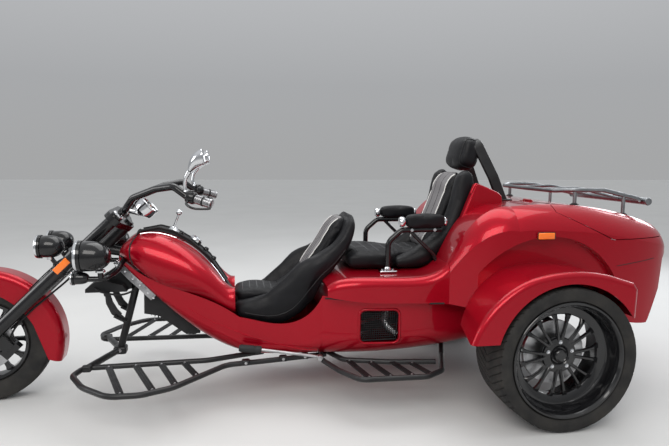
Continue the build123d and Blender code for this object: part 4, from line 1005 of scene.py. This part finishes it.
def fork_fittings():
    """Rings, caps and bolts on the fork's legs, reflectors and the brake line."""
    form = Shape()
    for z, r in ((552, 38.5), (562, 40), (572, 36.5)):
        ring = [(30, -5), (r, -5), (r, 5), (30, 5)]
        form.add(lathe(ring, on_fork(0, LEG_SPREAD, z), LEG_UP, 40, closed=True))
    cap = [(31, 0), (31, 4), (27, 9), (16, 11), (16, 8), (12, 8), (12, 12), (0, 13)]
    form.add(lathe(cap, on_fork(0, LEG_SPREAD, 972), LEG_UP, 40), 1)
    for z in (650, 662, 935, 947):
        form.bolt(on_fork(-34, LEG_SPREAD + 14, z), -LEG_FORE, 6, 1)
    form.bolt(on_fork(0, LEG_SPREAD + 36, 0), Y, 15, 1)
    form.add(rounded_box(on_fork(0, LEG_SPREAD + 20, 0), (56, 34, 56), 9))
    form.bolt(on_fork(30, LEG_SPREAD + 22, -6), LEG_FORE, 6, 1)
    form.add(tube([on_fork(ahead, LEG_SPREAD, up) for ahead, up in ((38, 560), (40, 470), (38, 380))], 3, 8))
    form.pair()
    for z in (470, 530):
        form.bolt(on_fork(33, LEG_SPREAD, z), LEG_FORE, 4.5, 1)
    make("fork_fittings", form, ["gloss_black", "chrome"], "steering")

    spin = Matrix.Rotation(-RAKE, 3, "Y")
    form = Shape().add(rounded_box(on_fork(9, LEG_SPREAD + 35, 592), (36, 10, 92), 3, spin))
    make("fork_reflectors", form.pair(), ["amber"], "steering")

    line = ((-30, 60, 640), (-58, 72, 560), (-52, 86, 420), (-44, 96, 300), (-50, 100, 190), (-70, 80, 120),
            (-100, 66, 112))
    form = Shape().add(tube([on_fork(*point) for point in line], 5.5, 12, 8))
    make("fork_brake_line", form, ["moulded"], "steering")


# Body trim

LINING_Y = 252
RISER_X = 1066
RIM_STEP = 5


def body_trim():
    """The tank's front edge, the black lines at the joints between the panels (the one under the deck's ledge
    also a painted shadow of that ledge), and the red crease and lips.
    """
    tank = node_tree("front_cowl")
    body = node_tree("main_body", "front_cowl", "seat_deck", "tail_body", "trunk_lid")
    edge, seams_and_ledge_shade, creases = Shape(), Shape(), Shape()
    for side in (-1, 1):
        edge.add(seam(tank, [(2062, 890), (2092, 838), (2096, 780), (2082, 736)], 4.5, side))
        # The first line runs in the groove under the deck's ledge. It is a panel joint drawn as a thick black
        # bead, which also paints the shadow under the ledge.
        line = [(1082, 562), (1040, 562), (960, 556), (900, 550), (760, 545), (560, 546), (470, 546)]
        seams_and_ledge_shade.add(seam(body, line, 5, side, -1))
        seams_and_ledge_shade.add(seam(body, [(-432, 746), (-513, 755), (-600, 764), (-690, 774)], 2.2, side, -0.6))
        line = [(1800, 500), (1700, 440), (1633, 409), (1540, 372), (1453, 340), (1330, 302), (1205, 274),
                (1120, 268)]
        creases.add(seam(body, line, 3.5, side, -0.8))
        line = ((262, 1112), (244, 1152), (228, 1158), (168, 1134), (104, 1105), (88, 1076), (90, 1020))
        creases.add(tube([(x, side * (LINING_Y + 24), z) for x, z in line], 9))
    for side in (1, -1):
        edge.add(tube([(2062, 0, 902), (2064, side * 40, 898), (2066, side * 70, 884)], 4.5, 8))
    make("tank_seam", edge, ["moulded"], "chassis")
    make("panel_seams_and_ledge_shade", seams_and_ledge_shade, ["moulded"], "chassis")
    make("body_creases", creases, ["red"], "chassis")


def seat_liner():
    """Black shelves inside the tub's rim beside the rider's seat, and a red riser behind it."""
    tub, deck = node_tree("main_body"), node_tree("seat_deck")
    inner, outer = [], []
    for x in range(1110, 1570, 20):
        rims = (on_side(tub, x, z) for z in range(660, 300, -RIM_STEP))
        rim = next((hit for hit in rims if hit), None)
        if rim:
            inner.append((x, 196, rim[2] - 62))
            outer.append((x, rim[1] - 9, rim[2] - 30))
    lines = [inner, outer, [(x, y + 2, z - 12) for x, y, z in outer], [(x, y, z - 12) for x, y, z in inner]]
    form = Shape().add(skin(lines, caps=False, loop=True, closed=False))
    make("seat_liner", form.pair(), ["moulded"], "chassis")
    rings = []
    for z in range(628, 424, -12):
        hit = on_side(deck if z > 580 else tub, RISER_X, z)
        if hit:
            y = hit[1] - 12
            rings.append([(RISER_X, -y, z), (RISER_X, y, z), (RISER_X + 4, y, z), (RISER_X + 4, -y, z)])
    make("deck_riser", Shape().add(skin(rings)), ["red"], "chassis")


def console_details():
    """Beads along the tank's strip, its filler, knobs and gear lever."""
    tank = node_tree("front_cowl", "console_strip")
    form = Shape()
    for side in (-1, 1):
        tops = [on_top(tank, x, side * 40, 4) for x in range(2050, 1570, -24)]
        form.add(tube([(x, y + side * 14, z - 2) for x, y, z in filter(None, tops)], 5, 10, 2))
        tops = [on_top(tank, x, side * 66, 0.5) for x in range(2050, 1590, -20)]
        form.add(tube(list(filter(None, tops)), 3.6, 8, 2), 1)
    cap = [(0, 0), (34, 0), (34, 10), (31, 16), (24, 18), (22, 14), (6, 14), (6, 24), (0, 26)]
    form.add(lathe(cap, (1765, 0, 838), (-0.62, 0, 0.78)), 1)
    knob = [(0, 0), (15, 0), (16, 6), (13, 16), (9, 20), (0, 21)]
    for x, z in ((1845, 874), (1712, 780), (1672, 728)):
        form.add(lathe(knob, (x, 0, z), (-0.5, 0, 0.86), 28), 2)
    foot = [(0, 0), (36, 0), (36, 6), (26, 12), (18, 26), (10, 30), (0, 30)]
    form.add(lathe(foot, (1884, 0, 890), (-0.2, 0, 0.98), 40), 1)
    form.add(tube([(1880, 0, 915), (1868, 6, 945), (1852, 18, 985)], [9, 6.5, 6.5], 16), 1)
    ball = [(0, -17), (9, -15), (16, -7), (18, 2), (15, 12), (8, 17), (0, 18)]
    form.add(lathe(ball, (1849, 20, 996), (-0.35, 0.3, 0.9), 28), 1)
    make("tank_fittings", form, ["moulded", "chrome", "gloss_black"], "chassis",
         ("gear_lever",))


def ribbed_hose(points, radius):
    """A corrugated hose: a tube whose radius waves along it."""
    line = spline(points, 12)
    return tube(line, [radius * (1.0 if i % 2 else 0.84) for i in range(len(line))], smooth=0)


def vent_details():
    """The rolled lip, the mesh and the hose of each side vent."""
    body = node_tree("main_body")
    form = Shape()
    outline = rounded_outline((726, 874), (356, 474), (34, 34), 6)
    points = [on_side(body, x, z, 1, -1.5) for x, z in outline]
    form.add(tube(list(filter(None, points)), 7.5, 12, 0, closed=True))
    for x in (700 + 200 * k / 17 for k in range(1, 17)):
        form.add(tube([(x, 348, 334), (x, 372, 494)], 1.6, 6, 0), 1)
    for z in (334 + 160 * k / 13 for k in range(1, 13)):
        y = 348 + 24 * (z - 334) / 160
        form.add(tube([(702, y, z), (898, y, z)], 1.6, 6, 0), 1)
    corners = [(698, 346, 330), (902, 346, 330), (902, 372, 500), (698, 372, 500)]
    form.add(tube(corners, 5, 8, 0, closed=True), 1)
    form.add(ribbed_hose([(690, 316, 352), (735, 330, 392), (760, 334, 440), (745, 326, 486)], 22), 2)
    make("side_vents", form.pair(), ["red", "moulded", "steel"], "chassis", angle=40)


def keel_details():
    """The silver rail on the keel's edge, hoses under the head and the guard's fins."""
    form = Shape()
    edge = [(2164, 62, 744), (2120, 81, 700), (2080, 97, 662), (2040, 116, 630), (2000, 124, 590),
            (1972, 127, 562)]
    sloped, raised = (Matrix.Rotation(math.radians(a), 3, "Y") for a in (45, -30))
    arm = (((2222, 572), (26, 0, 3)), ((2214, 524), (34, 0, -8)), ((2190, 474), (30, 0, -26)),
           ((2160, 446), (14, 0, -30)))
    for side in (-1, 1):
        rail = [((x + 11, side * (y + 3), z - 13), (25, 0, -25), (0, 5, 0)) for x, y, z in spline(edge, 3)]
        form.add(loft_bar(rail, 0.2))
        form.add(rounded_box((2172, side * 68, 728), (30, 10, 34), 3, sloped), 1)
        for x, y, z in edge[1:]:
            form.bolt((x + 11, side * (y + 5), z - 13), (0, side, 0), 4.5, 1)
        form.add(loft_bar([((x, side * 98, z), wide, (0, 17, 0)) for (x, z), wide in arm], 0.3), 3)
        for k in range(4):
            at = vec(2160, side * 98, 436) + vec(0.87, 0, 0.5) * (k * 16 - 24) + vec(-0.5, 0, 0.87) * 6
            form.add(rounded_box(at, (8, 48, 6), 2, raised), 2)
    hose = [(2286, 118, 612), (2240, 140, 590), (2150, 124, 570), (2078, 90, 588), (2040, 60, 600)]
    form.add(tube(hose, 5.5, 10), 2)
    form.add(tube([(2250, -96, 612), (2216, -120, 588), (2140, -110, 566), (2070, -80, 590)], 5.5, 10), 2)
    for k in range(12):
        form.add(rounded_box((2020 - k * 17, 0, 470 - k * 9), (3, 150, 46), 1), 2)
    form.add(rounded_box((2206, 0, 582), (180, 60, 8), 3), 2)
    for x, y in ((2150, -50), (2260, -50), (2150, 50), (2260, 50)):
        form.bolt((x, y, 585), DOWN, 6, 1)
    make("keel_fittings", form, ["silver", "chrome", "moulded", "satin_black"], "chassis")


BOARD_TOP = 224
SLAT_INSET = 26


def board_details():
    """Ribbed treads on the slats, welded clamps and bolts on the footboards, and the parking lever."""
    form = Shape()
    for xa, ya, xb, yb in (
        (2204, 232, 2072, 630), (2070, 232, 1932, 606), (1942, 232, 1836, 548), (1825, 232, 1742, 448),
        (960, 345, 900, 622), (850, 385, 790, 622), (740, 385, 680, 622), (640, 428, 580, 622),
    ):
        lift = BOARD_TOP if xa > 1200 else BOARD_TOP + 4
        a, b = vec(xa, ya, lift), vec(xb, yb, lift)
        ahead = unit(b - a)
        side = np.cross(Z, ahead)
        for offset in (-11, 0, 11):
            ends = (a + ahead * SLAT_INSET + side * offset, b - ahead * SLAT_INSET + side * offset)
            form.add(loft_bar([(end, side * 5, (0, 0, 3)) for end in ends], 0.4))
        for along in (20, np.linalg.norm(b - a) - 20):
            form.bolt(a + ahead * along + (0, 0, -1), Z, 5, 1)
    for x, y in ((1500, 285), (1300, 255), (1180, 236)):
        form.add(rounded_box((x, y, 222), (44, 40, 30), 8))
        form.bolt((x, y + 20, 222), Y, 6, 1)
    form.pair()
    collar = [(15, -8), (25, -8), (27, -4), (27, 4), (25, 8), (15, 8)]
    form.add(lathe(collar, (2068, 0, 668), (-0.25, 0, 1), 28))
    form.add(rounded_box((2184, 0, 232), (70, 70, 44), 12))
    for side in (-1, 1):
        form.bolt((2184, side * 35, 234), (0, side, 0), 8, 1)
        form.add(rounded_box((2302, side * 262, 224), (46, 34, 34), 8))
    make("board_fittings", form, ["satin_black", "steel"], "chassis")
    form = Shape()
    grip = [(0, 0), (17, 0), (20, 5), (20, 30), (17, 36), (20, 42), (20, 108), (16, 118), (0, 120)]
    form.add(lathe(grip, (1418, 303, 290), (1, -0.05, 0.12), 28))
    form.add(tube([(1108, 318, 240), (1200, 314, 256), (1400, 304, 288), (1424, 303, 290)], 8.4), 1)
    form.add(lathe([(0, -17), (15, -17), (17, -14), (17, 14), (15, 17), (0, 17)], (1108, 318, 236), Y, 28), 1)
    form.bolt((1108, 335, 236), Y, 9, 1)
    make("parking_lever", form, ["moulded", "steel"], "chassis", ("brake_lever",))


def rest_frames():
    """Chrome ends, feet and bolts on the armrests, feet and caps on the roll bar."""
    form = Shape()
    form.add(lathe([(0, -16), (20, -14), (28, -4), (29, 10), (24, 18), (0, 20)], (650, 272, 958), X, 36))
    form.add(lathe([(0, -6), (24, -4), (26, 2), (22, 8), (0, 8)], (408, 272, 958), X, 36))
    form.add(rounded_box((730, 272, 690), (96, 62, 9), 4))
    for x in (700, 760):
        form.bolt((x, 272, 694), Z, 7, 0)
    form.add(lathe([(15, 0), (21, 2), (22, 10), (17, 20), (15, 20)], (730, 272, 694), Z, 32))
    form.add(tube([(612, 272, 912), (540, 272, 842), (470, 272, 775), (450, 272, 728)], 9.6), 1)
    for x in (600, 470):
        form.bolt((x, 288, 914), Y, 7, 0)
    make("armrest_fittings", form.pair(), ["chrome", "gloss_black"], "chassis")
    tail = node_tree("tail_body", "trunk_lid")
    form = Shape()
    for y in (-165, 165):
        top = on_top(tail, 10, y)
        if top:
            form.add(rounded_box((14, y, top[2] + 3), (86, 52, 9), 4))
            for x in (-20, 48):
                form.bolt((x, y, top[2] + 6), Z, 6.5, 1)
    for y in (-60, 60):
        form.add(tube([(160, y, 1376), (182, y, 1352), (190, y, 1330)], 9), 1)
        form.add(lathe([(0, 0), (16, 0), (16, 10), (10, 14), (0, 14)], (158, y, 1380), Z, 24), 1)
    make("roll_bar_fittings", form, ["satin_black", "steel"], "chassis")


def tail_details():
    """Lamp rings and lenses, the blank plate with its screws and lamp, and the side markers."""
    form = Shape()
    for y in (-335, 335, -245, 245):
        at = (-768, y, 690)
        form.add(lathe([(40, 18), (47, 18), (49, 22), (47, 27), (40, 29)], at, BACK, closed=True))
        form.add(lathe([(0, 32), (20, 31), (34, 29), (41, 25), (41, 20)], at, BACK), 1)
        for r in (12, 22, 32):
            form.add(lathe([(r, 28), (r + 2, 32.5), (r + 4, 28)], at, BACK), 1)
    make("rear_lamp_rings", form, ["chrome", "red_lens"], "chassis")
    form = Shape()
    for y in (-60, 60):
        form.bolt((-794, y, 640), BACK, 6, 1)
    form.add(rounded_box((-794, 0, 746), (22, 130, 26), 7))
    form.add(rounded_box((-797, 0, 738), (12, 96, 12), 3), 2)
    form.add(rounded_box((-793, 0, 640), (4, 258, 150), 1.5), 3)
    corners = [(-793, -140, 555), (-793, 140, 555), (-793, 140, 725), (-793, -140, 725)]
    form.add(tube(corners, 3, 8, 0, closed=True))
    make("plate_fittings", form, ["moulded", "chrome", "lens", "plate"], "chassis")
    form = Shape()
    outline = rounded_outline((-47, 31), (-12, 12), (8, 6), 3)
    for side in (-1, 1):
        form.add(tube([(x, side * 609, 915 + z) for x, z in outline], 2.4, 8, 0, closed=True))
        form.add(rounded_box((-8, side * 601, 915), (90, 28, 34), 5), 1)
    make("side_markers", form, ["satin_black", "amber"], "chassis")


def lid_details():
    """The lid's handle and lock, and feet, buffers and caps of the rack."""
    lid = node_tree("trunk_lid")
    form = Shape()
    form.add(rounded_box((-784, 0, 905), (30, 90, 20), 6), 1)
    form.add(lathe([(0, 0), (13, 0), (13, 4), (9, 6), (0, 6)], (-816, 0, 930), (-1, 0, 0.1), 28))
    feet = [on_top(lid, x, y, -0.5) for x in (-300, -600) for y in (-379, 379)]
    for x, y, z in filter(None, feet):
        form.add(lathe([(10, 0), (22, 0), (23, 4), (18, 8), (11, 12)], (x, y, z), Z, 32), 1)
        for a in (math.radians(120 * k + 30) for k in range(3)):
            form.bolt((x + 17 * math.cos(a), y + 17 * math.sin(a), z + 3), Z, 3, 0)
    for y in (-230, -80, 80, 230):
        form.add(lathe([(0, 0), (14, 0), (14, 5), (10, 7), (0, 7)], (-762, y, 1088), Z, 24), 2)
    for side in (1, -1):
        cap = [(0, 0), (22, 0), (23, 4), (20, 10), (0, 11)]
        form.add(lathe(cap, (-762, side * 368, 1068), (0, side, 0), 28), 2)
    make("lid_fittings", form, ["chrome", "moulded", "rack"], "trunk_lid")


# Springs, engine, exhaust and axle

COIL_TURNS, COIL_STEPS = 7, 16


def damper_springs():
    form = Shape()
    low, high = vec(80, 500, 424), vec(110, 500, 690)
    ahead, (first, second) = unit(high - low), across(high - low)
    length = np.linalg.norm(high - low)
    coil = []
    for k in range(COIL_TURNS * COIL_STEPS + 1):
        a = 2 * math.pi * k / COIL_STEPS
        along = 60 + (length - 122) * k / (COIL_TURNS * COIL_STEPS)
        coil.append(low + ahead * along + first * 40 * math.cos(a) + second * 40 * math.sin(a))
    form.add(tube(coil, 6, 8, 0))
    for along in (52, length - 58):
        form.add(lathe([(12, 0), (50, 0), (50, 6), (12, 6)], low + ahead * along, ahead, 36, closed=True), 1)
    make("damper_springs", form.pair(), ["red", "steel"], "chassis")


def engine_details():
    form = Shape()
    for x in range(-210, -531, -40):
        for side in (-1, 1):
            form.add(rounded_box((x, side * 262, 560), (6, 14, 220), 2))
    form.add(lathe([(0, 0), (70, 0), (72, 8), (60, 22), (20, 26), (0, 26)], (-172, 110, 520), X, 40))
    form.add(lathe([(0, 0), (46, 0), (48, 8), (40, 18), (0, 20)], (-172, -120, 600), X, 40), 1)
    form.add(tube([(-171, 62, 520), (-160, 30, 600), (-160, -70, 640), (-165, -120, 650)], 6, 10), 2)
    for x in (-520, -370, -220):
        for side in (-1, 1):
            form.bolt((x, side * 200, 428), DOWN, 8, 1)
    make("engine_fittings", form, ["cast", "steel", "moulded"], "chassis")


def exhaust_details():
    form = Shape()
    for y in (-210, 0, 210):
        form.add(lathe([(62, -9), (65, -9), (65, 9), (62, 9)], (-690, y, 350), Y, 56, closed=True))
    for side in (-1, 1):
        form.add(lathe([(62, 0), (58, 8), (40, 14), (0, 16)], (-690, side * 259, 350), (0, side, 0), 56), 1)
        ring = [(26, -4), (31, -4), (33, 0), (31, 5), (27, 5)]
        form.add(lathe(ring, (-812, side * 180, 350), BACK, 40, closed=True), 1)
    make("exhaust_fittings", form, ["steel", "chrome"], "chassis")


def axle_details():
    """Flanges with bolts and rubber boots on both sides of the axle housing."""
    form = Shape()
    for side in (-1, 1):
        at, out = (0, side * 104, REAR_TYRE_R), (0, side, 0)
        form.add(lathe([(20, 0), (92, 0), (92, 10), (84, 22), (20, 26)], at, out))
        for k in range(8):
            form.bolt(polar(45 * k)[0] * 76 + (0, side * 106, REAR_TYRE_R), out, 6, 1)
        boot = []
        for k in range(7):
            boot += [(52 - k * 4, 30 + k * 14), (38 - k * 2.6, 37 + k * 14)]
        form.add(lathe(boot, at, out, 40), 2)
    make("axle_fittings", form, ["cast", "steel", "moulded"], "chassis")


make_camera()
PAINT = build_materials()
make_stage()
dress_nodes()
wheels()
rider_seat()
passenger_seat()
rest_pads()
lamps()
gauge()
grips()
mirrors()
fork_fittings()
body_trim()
seat_liner()
console_details()
vent_details()
keel_details()
board_details()
rest_frames()
tail_details()
lid_details()
damper_springs()
engine_details()
exhaust_details()
axle_details()
